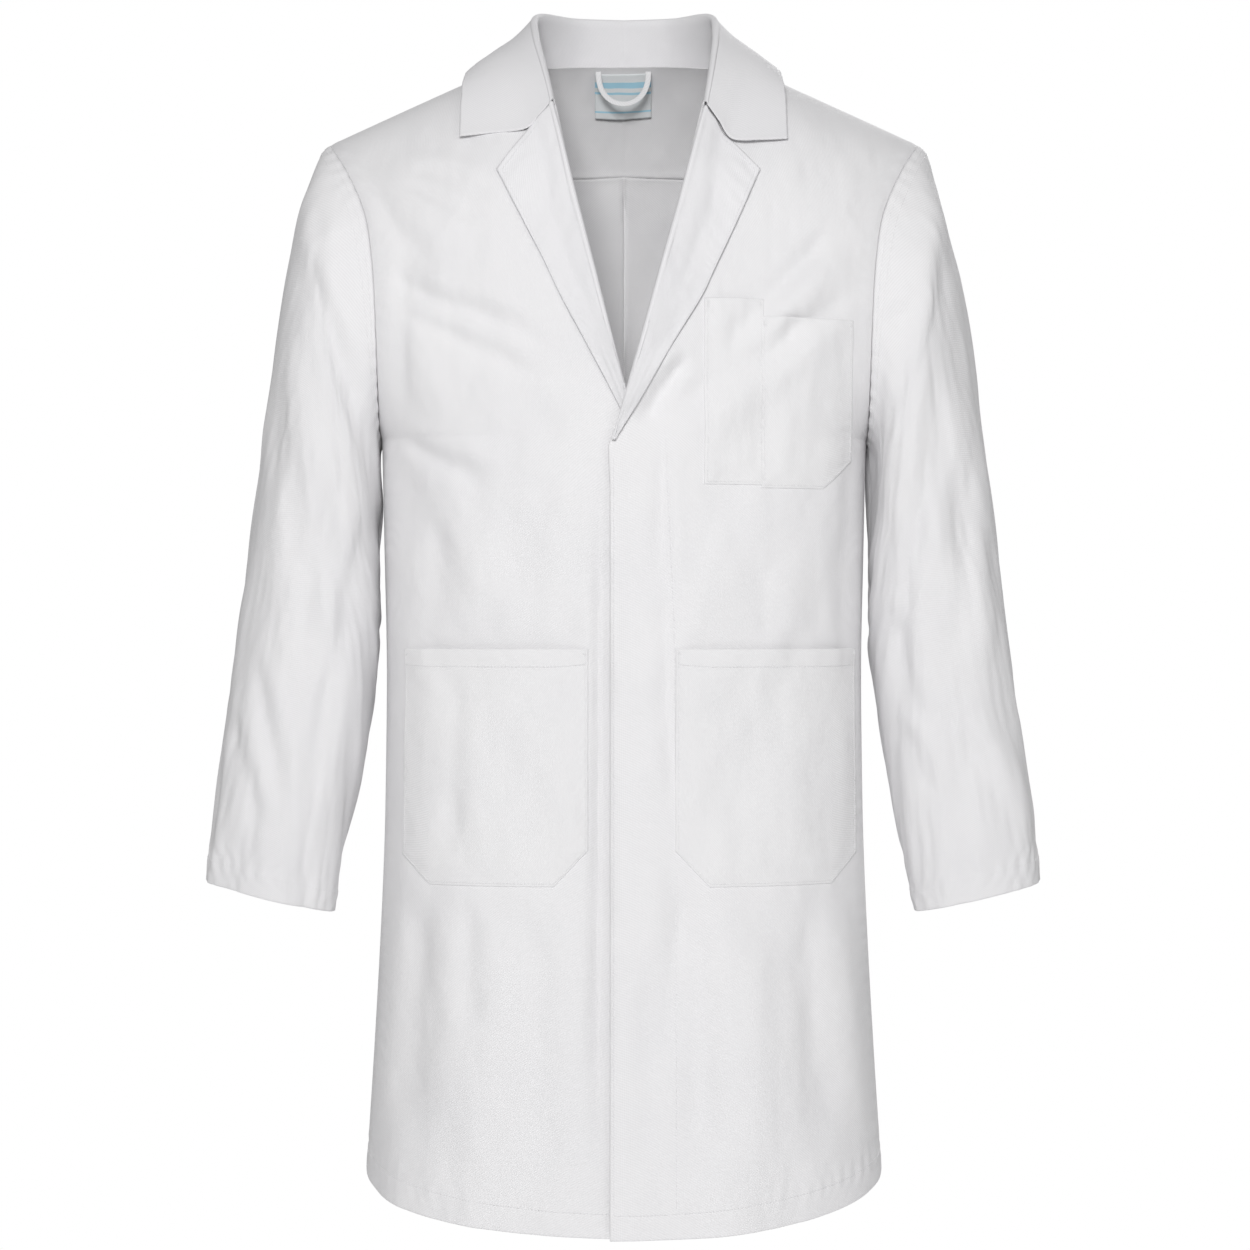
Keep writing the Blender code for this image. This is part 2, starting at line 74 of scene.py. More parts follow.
SIDE_X = [(-1.00, 0.2285), (-0.957, 0.2265), (-0.86, 0.2205), (-0.76, 0.2150), (-0.676, 0.2115), (-0.61, 0.2102),
          (-0.518, 0.2095), (-0.42, 0.2115), (-0.325, 0.2135)]
HOLE_X = [(-0.325, 0.2135), (-0.30, 0.2125), (-0.22, 0.2130), (-0.165, 0.2170), (-0.131, 0.2235), (-0.09, 0.2420),
          (-0.062, 0.2600)]
FRONT_Y = [(-1.00, 0.152), (-0.85, 0.143), (-0.70, 0.134), (-0.55, 0.127), (-0.42, 0.130), (-0.30, 0.136), (-0.20, 0.133),
           (-0.12, 0.120), (-0.05, 0.104), (0.02, 0.086)]
BACK_Y = [(-1.00, 0.150), (-0.85, 0.142), (-0.70, 0.130), (-0.55, 0.112), (-0.45, 0.106), (-0.33, 0.116), (-0.20, 0.124),
          (-0.12, 0.119), (-0.05, 0.108), (0.04, 0.092)]


# ---------------------------------------------------------------- curves and fields
def smooth(t):
    t = np.clip(t, 0.0, 1.0)
    return t * t * (3 - 2 * t)


def lookup(table, x):
    """A smooth curve through a table's points, by Hermite pieces."""
    tx = np.array([p[0] for p in table])
    ty = np.array([p[1] for p in table])
    slope = np.diff(ty) / np.diff(tx)
    m = np.concatenate([[slope[0]], (slope[:-1] + slope[1:]) / 2, [slope[-1]]])
    x = np.clip(np.asarray(x, float), tx[0], tx[-1])
    k = np.clip(np.searchsorted(tx, x, side="right") - 1, 0, len(tx) - 2)
    h = tx[k + 1] - tx[k]
    t = (x - tx[k]) / h
    return ((2 * t**3 - 3 * t**2 + 1) * ty[k] + (t**3 - 2 * t**2 + t) * h * m[k]
            + (-2 * t**3 + 3 * t**2) * ty[k + 1] + (t**3 - t**2) * h * m[k + 1])


def spline(points, t):
    """A Catmull-Rom curve through points, t from 0 to 1. t is an array, and the answer has one more axis."""
    p = np.asarray(points, float)
    p = np.concatenate([[2 * p[0] - p[1]], p, [2 * p[-1] - p[-2]]])
    n = len(points) - 1
    t = np.clip(np.asarray(t, float), 0, 1) * n
    k = np.minimum(t.astype(int), n - 1)
    f = (t - k)[..., None]
    p0, p1, p2, p3 = p[k], p[k + 1], p[k + 2], p[k + 3]
    return 0.5 * (2 * p1 + (p2 - p0) * f + (2 * p0 - 5 * p1 + 4 * p2 - p3) * f**2 + (3 * p1 - p0 - 3 * p2 + p3) * f**3)


def shoulder_line(x):
    slope = -SHOULDER_Z / (SHOULDER_X - NECK_X)
    return slope * (NECK_X - np.sqrt(x * x + 0.0009))


def hole_ratio(z):
    s = np.clip((z - ARMPIT_Z) / 0.120, 0.0, 1.0)
    return 0.72 * np.sqrt(1 - (1 - s) ** 2)


def outline_x(z):
    z = np.asarray(z, float)
    return np.where(z <= ARMPIT_Z, lookup(SIDE_X, z), lookup(HOLE_X, z))


def half_width(z):
    z = np.asarray(z, float)
    r = np.where(z <= ARMPIT_Z, 0.0, hole_ratio(z))
    return outline_x(z) / (1 - r**ROUND) ** (1 / ROUND)


def depth(x, z, front):
    a = half_width(z)
    c = (1 - np.minimum(np.abs(x) / a, 1.0) ** ROUND) ** (1 / ROUND)
    t = np.clip((shoulder_line(x) - z) / SHOULDER_ROLL, 0.0, 1.0)
    g = np.sqrt(1 - (1 - t) ** 2)
    return lookup(FRONT_Y if front else BACK_Y, z) * c * g


def angle_of(x, z):
    return np.arcsin(np.minimum((np.abs(x) / half_width(z)) ** (ROUND / 2), 1.0))


def body_base(x, z, front):
    """Points of the body's plain surface, and their normals."""
    e = 0.0005
    sign = -1.0 if front else 1.0
    y = depth(x, z, front)
    # slopes from the inside, so that they stay finite at the side and at the shoulder
    s = np.where(x < 0, -1.0, 1.0)
    yx = (y - depth(x - s * e, z, front)) / (s * e)
    yz = (y - depth(x, z - e, front)) / e
    n = np.stack([-yx, np.full_like(y, sign), -yz], -1)
    n /= np.linalg.norm(n, axis=-1, keepdims=True)
    return np.stack([x, sign * y, z], -1), n


def overlap_off(x, side):
    return side * OVERLAP * (1 - smooth((np.abs(x) - 0.045) / 0.065))


def roll_x(z, side):
    low, high = ROLL[side]
    return low + (high - low) * (z - BREAK_Z) / (ROLL_TOP[1] - BREAK_Z)


def edge_x(z, side):
    """Where a front's inner edge lies, towards its own side. Above the break it makes room for the lapel's roll."""
    t = (z - BREAK_Z) / (ROLL_TOP[1] - BREAK_Z)
    above = roll_x(z, side) + 0.0030 * smooth(t / 0.12)
    if side > 0:
        below = EDGE_LEFT + (ROLL[1][0] - EDGE_LEFT) * smooth((z + 0.375) / 0.04)
    else:
        k = smooth((z + 0.375) / 0.04)
        below = -EDGE_RIGHT * (1 - k) + ROLL[-1][0] * k
    return np.where(z <= BREAK_Z, below, above)


# ---------------------------------------------------------------- noise and folds
def hashed(ix, iy, seed):
    """A number from -1 to 1 for each lattice point, the same on every run."""
    h = (ix.astype(np.int64) * 374761393 + iy.astype(np.int64) * 668265263 + seed * 974634777) & 0xFFFFFFFF
    h = ((h ^ (h >> 13)) * 1274126177) & 0xFFFFFFFF
    h = h ^ (h >> 16)
    return h.astype(float) / 0xFFFFFFFF * 2 - 1


def noise(x, y, seed):
    ix, iy = np.floor(x), np.floor(y)
    fx, fy = x - ix, y - iy
    ux, uy = fx**3 * (fx * (fx * 6 - 15) + 10), fy**3 * (fy * (fy * 6 - 15) + 10)
    a, b = hashed(ix, iy, seed), hashed(ix + 1, iy, seed)
    c, d = hashed(ix, iy + 1, seed), hashed(ix + 1, iy + 1, seed)
    return a + (b - a) * ux + (c - a) * uy + (a - b - c + d) * ux * uy


def view_point(px, py, y=-0.12):
    """The place of a point of the front view, in the 1250-unit picture plane, on the plane at depth y."""
    k = (2.8 + y) / 2.8 / 1130
    return (px - 624) * k, -0.486 + (625 - py) * k


def crease(x, z, points, height, width, twin=0.0, y=-0.12):
    """A fold along a line of view points: a valley or ridge with tapered ends. twin adds the opposite shape beside it."""
    line = np.array([view_point(px, py, y) for px, py in points])
    fine = spline(line, np.linspace(0, 1, 7 * (len(points) - 1) + 1)) if len(points) > 2 else line[0] + (line[1] - line[0]) * np.linspace(0, 1, 8)[:, None]
    steps = np.concatenate([[0], np.cumsum(np.linalg.norm(np.diff(fine, axis=0), axis=1))])
    total = steps[-1]
    best = np.full(x.shape, 1e9)
    along = np.zeros(x.shape)
    signed = np.zeros(x.shape)
    lo, hi = fine.min(0) - 4 * width, fine.max(0) + 4 * width
    near = (x > lo[0]) & (x < hi[0]) & (z > lo[1]) & (z < hi[1])
    if not near.any():
        return np.zeros(x.shape)
    xs, zs = x[near], z[near]
    b, al, sg = best[near], along[near], signed[near]
    for k in range(len(fine) - 1):
        p, q = fine[k], fine[k + 1]
        d = q - p
        l2 = float(d @ d)
        t = np.clip(((xs - p[0]) * d[0] + (zs - p[1]) * d[1]) / l2, 0, 1)
        dx, dz = xs - (p[0] + t * d[0]), zs - (p[1] + t * d[1])
        dist = np.hypot(dx, dz)
        side = np.sign(d[0] * dz - d[1] * dx)
        nearer = dist < b
        b = np.where(nearer, dist, b)
        al = np.where(nearer, steps[k] + t * math.sqrt(l2), al)
        sg = np.where(nearer, side * dist, sg)
    f = al / total
    taper = smooth(f / 0.28) * smooth((1 - f) / 0.28)
    w = width * (0.75 + 0.5 * f)
    h = np.exp(-((b / w) ** 2))
    if twin:
        h = h - abs(twin) * np.exp(-(((sg - math.copysign(1.9, twin) * w) / (1.25 * w)) ** 2))
    out = np.zeros(x.shape)
    out[near] = height * h * taper
    return out


# ---------------------------------------------------------------- the body's folds
FRONT_FOLDS = [
    # wearer's right front, on the view's left
    ([(345, 155), (385, 215), (446, 279)], -0.0020, 0.012, 0.6), ([(375, 263), (434, 299), (510, 327), (582, 383)], -0.0026, 0.011, 0.6),
    ([(383, 303), (510, 363), (590, 391)], -0.0018, 0.010, 0.5), ([(387, 432), (446, 464), (494, 482)], -0.0020, 0.009, 0.5),
    ([(405, 158), (446, 172), (494, 199)], -0.0011, 0.007, 0.6), ([(400, 175), (440, 196), (486, 222)], -0.0008, 0.006, -0.6),
    ([(434, 510), (436, 575), (434, 640)], -0.0016, 0.012, 0.5), ([(510, 500), (512, 560), (508, 612)], -0.0012, 0.011, -0.5),
    ([(458, 686), (455, 780), (454, 877)], -0.0013, 0.010, 0.5), ([(470, 893), (470, 970), (472, 1040)], -0.0022, 0.011, 0.5),
    ([(600, 446), (602, 700), (600, 1000), (602, 1225)], -0.0042, 0.0075, 0.0), ([(425, 880), (412, 1010), (400, 1150)], -0.0034, 0.017, 0.5),
    ([(530, 900), (540, 1050), (546, 1210)], -0.0026, 0.020, -0.5), ([(560, 470), (556, 560), (560, 650)], 0.0012, 0.013, 0.0),
    # wearer's left front, on the view's right
    ([(861, 215), (797, 271), (694, 383)], -0.0024, 0.011, 0.6), ([(869, 279), (765, 351), (638, 430)], -0.0026, 0.012, 0.6),
    ([(837, 215), (781, 279), (757, 299)], -0.0012, 0.008, 0.5), ([(694, 351), (662, 391), (638, 434)], -0.0042, 0.008, -0.5),
    ([(805, 303), (765, 375)], -0.0012, 0.009, 0.5), ([(663, 430), (662, 520), (662, 606)], -0.0022, 0.007, 0.5),
    ([(666, 560), (668, 700), (678, 845)], -0.0022, 0.008, 0.0), ([(694, 869), (698, 1030), (702, 1196)], -0.0034, 0.015, 0.5),
    ([(797, 893), (815, 1020), (829, 1156)], -0.0032, 0.019, 0.5), ([(752, 900), (756, 1040), (764, 1190)], 0.0024, 0.020, 0.0),
    ([(858, 420), (852, 520), (856, 640)], -0.0018, 0.011, 0.4), ([(760, 560), (764, 600), (770, 645)], -0.0011, 0.010, 0.5),
    ([(400, 230), (398, 330), (400, 430)], -0.0014, 0.010, 0.4), ([(648, 900), (650, 1040), (646, 1200)], -0.0020, 0.013, 0.4),
    ([(652, 845), (656, 905), (638, 1010)], 0.0022, 0.012, 0.0), ([(688, 880), (674, 960), (668, 1080)], -0.0026, 0.010, 0.4)]
BACK_FOLDS = [
    ([(420, 300), (500, 400), (560, 520)], -0.0026, 0.014, 0.6), ([(830, 300), (750, 400), (690, 520)], -0.0026, 0.014, 0.6),
    ([(520, 560), (500, 800), (480, 1180)], -0.0040, 0.020, 0.5), ([(730, 560), (750, 800), (770, 1180)], -0.0040, 0.020, 0.5),
    ([(440, 700), (430, 900), (415, 1150)], -0.0034, 0.018, 0.5), ([(810, 700), (820, 900), (835, 1150)], -0.0034, 0.018, 0.5),
    ([(590, 640), (585, 900), (580, 1200)], -0.0026, 0.018, 0.5), ([(662, 640), (665, 900), (670, 1200)], -0.0026, 0.018, -0.5),
    ([(400, 420), (480, 470), (540, 480)], -0.0022, 0.012, 0.5), ([(850, 420), (770, 470), (710, 480)], -0.0022, 0.012, 0.5)]


def body_folds(x, z, front):
    """How far the cloth stands out from the plain body, without seams."""
    low = smooth((-0.42 - z) / 0.45)
    seed = 11 if front else 47
    h = 0.0046 * low * noise(x / 0.046, z / 0.420, seed) + 0.0030 * noise(x / 0.080, z / 0.170, seed + 1)
    lean = x + np.where(x < 0, 1, -1) * z * 0.55
    h += 0.0026 * (1 - low) * noise(lean / 0.036, (z - x * 0.4) / 0.120, seed + 2)
    h += 0.00085 * noise(x / 0.016, z / 0.034, seed + 3) + 0.00025 * noise(x / 0.007, z / 0.012, seed + 4)
    for points, height, width, twin in (FRONT_FOLDS if front else BACK_FOLDS):
        h += 1.75 * crease(x, z, points, height, width, twin, -0.12 if front else 0.12)
    return h


def pucker(along, away, pitch, height, reach, seed):
    """The small crimps that a line of stitches draws in the cloth, as a height, at a distance away from the line."""
    wave = np.sin(2 * math.pi * (along / pitch + 0.9 * noise(along / (3.1 * pitch), away / 0.02, seed)) + 55 * away)
    return height * wave * np.exp(-((away / reach) ** 2)) * (0.75 + 0.5 * noise(along / 0.05, away / 0.05, seed + 1))


def seam_reach(x, z):
    """1 over the body, falling to 0 at the side seam or armhole seam."""
    return smooth((outline_x(z) - np.abs(x)) / 0.030)


def hem_height(x, z, u=None):
    """Height above the hem, at a point of the body."""
    t = np.clip(np.abs(x) / 0.227, 0, 1)
    hem = HEM_FRONT_Z + (HEM_SIDE_Z - HEM_FRONT_Z) * (1 - np.sqrt(np.clip(1 - t**2, 0, 1))) ** 0.9
    return z - hem


def body_cloth(x, z, front, side, off=0.0, hem=True, fold=1.0):
    """Points on the body's cloth: x across the picture, off outwards from the cloth's own surface."""
    x, z = np.broadcast_arrays(np.asarray(x, float), np.asarray(z, float))
    base, n = body_base(x, z, front)
    h = body_folds(x, z, front) * seam_reach(x, z) * fold
    top = smooth((shoulder_line(x) - z) / 0.05)
    h = h * top
    if hem:
        above = hem_height(x, z) - 0.020
        h = h + pucker(x, above, 0.0105, 0.00055, 0.012, 5 if front else 6) * smooth((0.05 - above) / 0.03)
        h = h + 0.0005 * smooth((0.001 - above) / 0.002)
    # the seam at the outer edge draws the cloth in
    edge = outline_x(z) - np.abs(x)
    h = h - 0.0006 * np.exp(-((edge / 0.0035) ** 2)) * smooth((z + 1.02) / 0.02)
    h = h + pucker(z, edge - 0.006, 0.017, 0.00028, 0.010, 7) * smooth(edge / 0.006) * (z < -0.06)
    p = base + n * (h + off)[..., None]
    if front:
        p[..., 1] = np.minimum(p[..., 1], -0.0004)
        if side:
            p[..., 1] -= overlap_off(x, side)
    else:
        p[..., 1] = np.maximum(p[..., 1], 0.0004)
    return p


# ---------------------------------------------------------------- meshes
def link(name, mesh):
    obj = bpy.data.objects.new(name, mesh)
    bpy.context.scene.collection.objects.link(obj)
    return obj


def grid(name, points, uv, ring=False, thick=CLOTH, offset=0.0, flip=False):
    """A sheet through an array of points (rows, columns, 3), with uv in metres, given its thickness."""
    nv, nu = points.shape[:2]
    index = np.arange(nv * nu).reshape(nv, nu)
    right = np.roll(index, -1, axis=1) if ring else index[:, 1:]
    left = index if ring else index[:, :-1]
    quads = np.stack([left[:-1], right[:-1], right[1:], left[1:]], -1).reshape(-1, 4)
    if flip:
        quads = quads[:, ::-1]
    mesh = bpy.data.meshes.new(name)
    mesh.vertices.add(nv * nu)
    mesh.vertices.foreach_set("co", points.astype(np.float32).ravel())
    mesh.loops.add(quads.size)
    mesh.loops.foreach_set("vertex_index", quads.ravel().astype(np.int32))
    mesh.polygons.add(len(quads))
    mesh.polygons.foreach_set("loop_start", np.arange(0, quads.size, 4, dtype=np.int32))
    mesh.update(calc_edges=True)
    layer = mesh.uv_layers.new(name="UVMap")
    at = uv.reshape(-1, 2)[quads.ravel()].copy()
    if ring:                                  # the last column of faces runs on past the seam
        wide = uv[:, 1, 0].mean() - uv[:, 0, 0].mean()
        last = (quads.ravel() % nu == 0) & (np.repeat(quads.max(1) % nu == nu - 1, 4))
        at[last, 0] = uv[0, -1, 0] + wide
    layer.data.foreach_set("uv", at.astype(np.float32).ravel())
    mesh.shade_smooth()
    mesh.validate()
    obj = link(name, mesh)
    if thick:
        solid = obj.modifiers.new("cloth", "SOLIDIFY")
        solid.thickness, solid.offset, solid.use_even_offset = thick, offset, False
    return obj


def final(obj):
    """Applies what is still live, so that the mesh is as seen."""
    for m in list(obj.modifiers):
        with bpy.context.temp_override(object=obj, active_object=obj, selected_objects=[obj]):
            bpy.ops.object.modifier_apply(modifier=m.name)
    return obj


def turned_edge(radius, tuck, rows, at_start=True):
    """A turned edge in section, from the tucked end to the sheet's own edge: (distance past the edge, offset, distance in from the edge)."""
    out = [(0.0, -2 * radius, tuck * (1 - k / rows)) for k in range(rows)]
    for k in range(6):
        a = math.pi * k / 6
        out.append((radius * math.sin(a), -radius - radius * math.cos(a), 0.0))
    return out


# ---------------------------------------------------------------- stitches
def stitches(name, lines, pitch=0.0030, radius=0.00024, lift=0.00015, length=0.76):
    """Lines of thread. Each line is (points, normals), laid just proud of the cloth."""
    verts, faces, count = [], [], 0
    ring = 6
    ang = np.arange(ring) * 2 * math.pi / ring
    for pts, nrm in lines:
        pts, nrm = np.asarray(pts, float), np.asarray(nrm, float)
        d = np.concatenate([[0], np.cumsum(np.linalg.norm(np.diff(pts, axis=0), axis=1))])
        n = int(d[-1] / pitch)
        if n < 1:
            continue
        start = (np.arange(n) + 0.12) * (d[-1] / n)
        for f, r, up in ((0.0, 0.55, -0.6), (0.16, 1.0, 0.75), (0.5, 1.0, 1.0), (0.84, 1.0, 0.75), (1.0, 0.55, -0.6)):
            s = start + f * length * pitch
            c = np.stack([np.interp(s, d, pts[:, i]) for i in range(3)], -1)
            w = np.stack([np.interp(s, d, nrm[:, i]) for i in range(3)], -1)
            ahead = np.stack([np.interp(s + 0.0005, d, pts[:, i]) - np.interp(s - 0.0005, d, pts[:, i]) for i in range(3)], -1)
            ahead /= np.maximum(np.linalg.norm(ahead, axis=1, keepdims=True), 1e-9)
            w /= np.maximum(np.linalg.norm(w, axis=1, keepdims=True), 1e-9)
            b = np.cross(ahead, w)
            c = c + w * (lift + (up - 0.4) * radius)
            verts.append((c[:, None] + (np.cos(ang)[None, :, None] * w[:, None] + np.sin(ang)[None, :, None] * b[:, None]) * radius * r))
        block = np.stack(verts[-5:], 1).reshape(n, 5 * ring, 3)
        verts[-5:] = [block.reshape(-1, 3)]
        for k in range(4):
            i = np.arange(ring)
            q = np.stack([k * ring + i, k * ring + (i + 1) % ring, (k + 1) * ring + (i + 1) % ring, (k + 1) * ring + i], -1)
            faces.append((count + np.arange(n)[:, None, None] * 5 * ring + q[None]).reshape(-1, 4))
        ends = np.array([[0, 5, 4, 3], [0, 3, 2, 1]])
        for shift, order in ((0, ends), (4 * ring, ends[:, ::-1])):
            faces.append((count + np.arange(n)[:, None, None] * 5 * ring + shift + order[None]).reshape(-1, 4))
        count += n * 5 * ring
    verts, faces = np.concatenate(verts), np.concatenate(faces)
    mesh = bpy.data.meshes.new(name)
    mesh.vertices.add(len(verts))
    mesh.vertices.foreach_set("co", verts.astype(np.float32).ravel())
    mesh.loops.add(faces.size)
    mesh.loops.foreach_set("vertex_index", faces.ravel().astype(np.int32))
    mesh.polygons.add(len(faces))
    mesh.polygons.foreach_set("loop_start", np.arange(0, faces.size, 4, dtype=np.int32))
    mesh.update(calc_edges=True)
    mesh.shade_smooth()
    return link(name, mesh)


def along(surface, path, step=0.002):
    """Points and outward normals along a path of (a, b) values on surface(a, b)."""
    path = np.asarray(path, float)
    d = np.concatenate([[0], np.cumsum(np.linalg.norm(np.diff(path, axis=0), axis=1))])
    s = np.linspace(0, d[-1], max(int(d[-1] / step), 2) + 1)
    a, b = np.interp(s, d, path[:, 0]), np.interp(s, d, path[:, 1])
    e = 0.0006
    p = surface(a, b)
    da, db = surface(a + e, b) - surface(a - e, b), surface(a, b + e) - surface(a, b - e)
    n = np.cross(da, db)
    n /= np.maximum(np.linalg.norm(n, axis=1, keepdims=True), 1e-12)
    return p, n


def facing(line, toward):
    """The same line with its normals turned to one side."""
    p, n = line
    n = np.where(((n @ np.asarray(toward, float)) < 0)[:, None], -n, n)
    return p, n


# ---------------------------------------------------------------- weights between the torso and the fronts and sleeves
def front_weight(p, side):
    """0 where a front stays with the shoulders and the side seam, 1 where it swings."""
    f = np.clip((HINGE_TOP[2] - p[:, 2]) / (HINGE_TOP[2] - HINGE_BOTTOM[2]), 0, 1)
    line = HINGE_TOP[0] + (HINGE_BOTTOM[0] - HINGE_TOP[0]) * f
    return smooth((line - side * p[:, 0] + 0.010) / 0.060) * smooth((-0.070 - p[:, 2]) / 0.430)


def sleeve_weight(p, side):
    """0 at the armhole seam, 1 well down the sleeve."""
    down = np.array([side * 0.33, 0.0, -0.94])
    return smooth(((p - np.array([side * 0.2150, 0, -0.060])) @ down - 0.02) / 0.24)


def follow(obj, weight):
    """Bakes obj's transform into its mesh and works out weight(points), from 0 to 1, at its vertices; the weights are
    not used.
    """
    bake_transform(obj)
    co = np.empty(len(obj.data.vertices) * 3, np.float32)
    obj.data.vertices.foreach_get("co", co)
    w = weight(co.reshape(-1, 3).astype(float))
    return obj


# ---------------------------------------------------------------- materials
def nodes_of(name):
    m = bpy.data.materials.new(name)
    m.use_nodes = True
    t = m.node_tree
    t.nodes.clear()
    out = t.nodes.new("ShaderNodeOutputMaterial")
    bsdf = t.nodes.new("ShaderNodeBsdfPrincipled")
    t.links.new(bsdf.outputs["BSDF"], out.inputs["Surface"])
    return m, t, bsdf


def woven(name, tint, dark, pitch, rough, bump, angle=0.0, sheen=0.15):
    """Twill-woven cloth: two sets of threads, slubs and slight mottling, on coordinates in metres along the cloth."""
    m, t, bsdf = nodes_of(name)
    new, link_ = t.nodes.new, t.links.new
    uv = new("ShaderNodeUVMap")
    uv.uv_map = "UVMap"
    turn = new("ShaderNodeMapping")
    turn.inputs["Rotation"].default_value = (0, 0, angle)
    link_(uv.outputs["UV"], turn.inputs["Vector"])

    def wave(direction, scale, distort):
        w = new("ShaderNodeTexWave")
        w.wave_type, w.bands_direction, w.wave_profile = "BANDS", direction, "SIN"
        w.inputs["Scale"].default_value = scale
        w.inputs["Distortion"].default_value = distort
        w.inputs["Detail"].default_value = 1.0
        w.inputs["Detail Scale"].default_value = 0.6
        link_(turn.outputs["Vector"], w.inputs["Vector"])
        return w

    k = 1 / pitch / 3.18                  # the wave texture's bands lie about 0.314 apart at scale 1
    warp, weft, twill = wave("X", k, 0.4), wave("Y", k * 0.8, 0.4), wave("DIAGONAL", k * 0.55, 0.5)
    cross = new("ShaderNodeMath")
    cross.operation = "MAXIMUM"
    link_(warp.outputs["Fac"], cross.inputs[0])
    link_(weft.outputs["Fac"], cross.inputs[1])
    thread = new("ShaderNodeMath")
    thread.operation = "MULTIPLY_ADD"
    link_(twill.outputs["Fac"], thread.inputs[0])
    thread.inputs[1].default_value = 0.9
    link_(cross.outputs[0], thread.inputs[2])

    def cloud(scale, detail, stretch=(1, 1, 1)):
        mp = new("ShaderNodeMapping")
        mp.inputs["Scale"].default_value = stretch
        link_(uv.outputs["UV"], mp.inputs["Vector"])
        n = new("ShaderNodeTexNoise")
        n.inputs["Scale"].default_value = scale
        n.inputs["Detail"].default_value = detail
        n.inputs["Roughness"].default_value = 0.55
        link_(mp.outputs["Vector"], n.inputs["Vector"])
        return n

    mottle, slub, crush = cloud(9, 3), cloud(700, 2, (1, 0.06, 1)), cloud(60, 4, (1, 0.6, 1))
    mix1 = new("ShaderNodeMix")
    mix1.data_type = "RGBA"
    mix1.inputs["A"].default_value, mix1.inputs["B"].default_value = (*tint, 1), (*dark, 1)
    ramp = new("ShaderNodeMapRange")
    ramp.inputs["From Min"].default_value, ramp.inputs["From Max"].default_value = 0.38, 0.72
    ramp.inputs["To Min"].default_value, ramp.inputs["To Max"].default_value = 0.0, 0.55
    link_(mottle.outputs["Fac"], ramp.inputs["Value"])
    link_(ramp.outputs["Result"], mix1.inputs["Factor"])
    gap = new("ShaderNodeMapRange")
    gap.inputs["From Min"].default_value, gap.inputs["From Max"].default_value = 0.2, 1.6
    gap.inputs["To Min"].default_value, gap.inputs["To Max"].default_value = 0.90, 1.0
    link_(thread.outputs[0], gap.inputs["Value"])
    mix2 = new("ShaderNodeMix")
    mix2.data_type, mix2.blend_type = "RGBA", "MULTIPLY"
    mix2.inputs["Factor"].default_value = 1.0
    link_(mix1.outputs["Result"], mix2.inputs["A"])
    link_(gap.outputs["Result"], mix2.inputs["B"])
    link_(mix2.outputs["Result"], bsdf.inputs["Base Color"])
    r = new("ShaderNodeMapRange")
    r.inputs["To Min"].default_value, r.inputs["To Max"].default_value = rough - 0.07, rough + 0.07
    link_(slub.outputs["Fac"], r.inputs["Value"])
    link_(r.outputs["Result"], bsdf.inputs["Roughness"])
    b1, b2 = new("ShaderNodeBump"), new("ShaderNodeBump")
    b1.inputs["Strength"].default_value, b1.inputs["Distance"].default_value = bump, 0.00012
    b2.inputs["Strength"].default_value, b2.inputs["Distance"].default_value = 0.35, 0.0012
    link_(crush.outputs["Fac"], b2.inputs["Height"])
    link_(thread.outputs[0], b1.inputs["Height"])
    link_(b2.outputs["Normal"], b1.inputs["Normal"])
    link_(b1.outputs["Normal"], bsdf.inputs["Normal"])
    bsdf.inputs["Sheen Weight"].default_value = sheen
    bsdf.inputs["Sheen Roughness"].default_value = 0.6
    bsdf.inputs["Specular IOR Level"].default_value = 0.25
    return m


def threads(name, colour):
    """Sewing thread: a fine twist along the stitch."""
    m, t, bsdf = nodes_of(name)
    new, link_ = t.nodes.new, t.links.new
    co = new("ShaderNodeTexCoord")
    n = new("ShaderNodeTexNoise")
    n.inputs["Scale"].default_value, n.inputs["Detail"].default_value = 900, 2
    link_(co.outputs["Object"], n.inputs["Vector"])
    mix = new("ShaderNodeMix")
    mix.data_type = "RGBA"
    mix.inputs["A"].default_value = (*colour, 1)
    mix.inputs["B"].default_value = (*[c * 0.86 for c in colour], 1)
    link_(n.outputs["Fac"], mix.inputs["Factor"])
    link_(mix.outputs["Result"], bsdf.inputs["Base Color"])
    b = new("ShaderNodeBump")
    b.inputs["Strength"].default_value, b.inputs["Distance"].default_value = 0.5, 0.0001
    link_(n.outputs["Fac"], b.inputs["Height"])
    link_(b.outputs["Normal"], bsdf.inputs["Normal"])
    bsdf.inputs["Roughness"].default_value = 0.5
    return m


def steel(name):
    m, t, bsdf = nodes_of(name)
    new, link_ = t.nodes.new, t.links.new
    co = new("ShaderNodeTexCoord")
    n = new("ShaderNodeTexNoise")
    n.inputs["Scale"].default_value, n.inputs["Detail"].default_value = 420, 3
    link_(co.outputs["Object"], n.inputs["Vector"])
    r = new("ShaderNodeMapRange")
    r.inputs["To Min"].default_value, r.inputs["To Max"].default_value = 0.20, 0.38
    link_(n.outputs["Fac"], r.inputs["Value"])
    link_(r.outputs["Result"], bsdf.inputs["Roughness"])
    mix = new("ShaderNodeMix")
    mix.data_type = "RGBA"
    mix.inputs["A"].default_value, mix.inputs["B"].default_value = (0.80, 0.80, 0.81, 1), (0.66, 0.66, 0.68, 1)
    link_(n.outputs["Fac"], mix.inputs["Factor"])
    link_(mix.outputs["Result"], bsdf.inputs["Base Color"])
    bsdf.inputs["Metallic"].default_value = 1.0
    return m


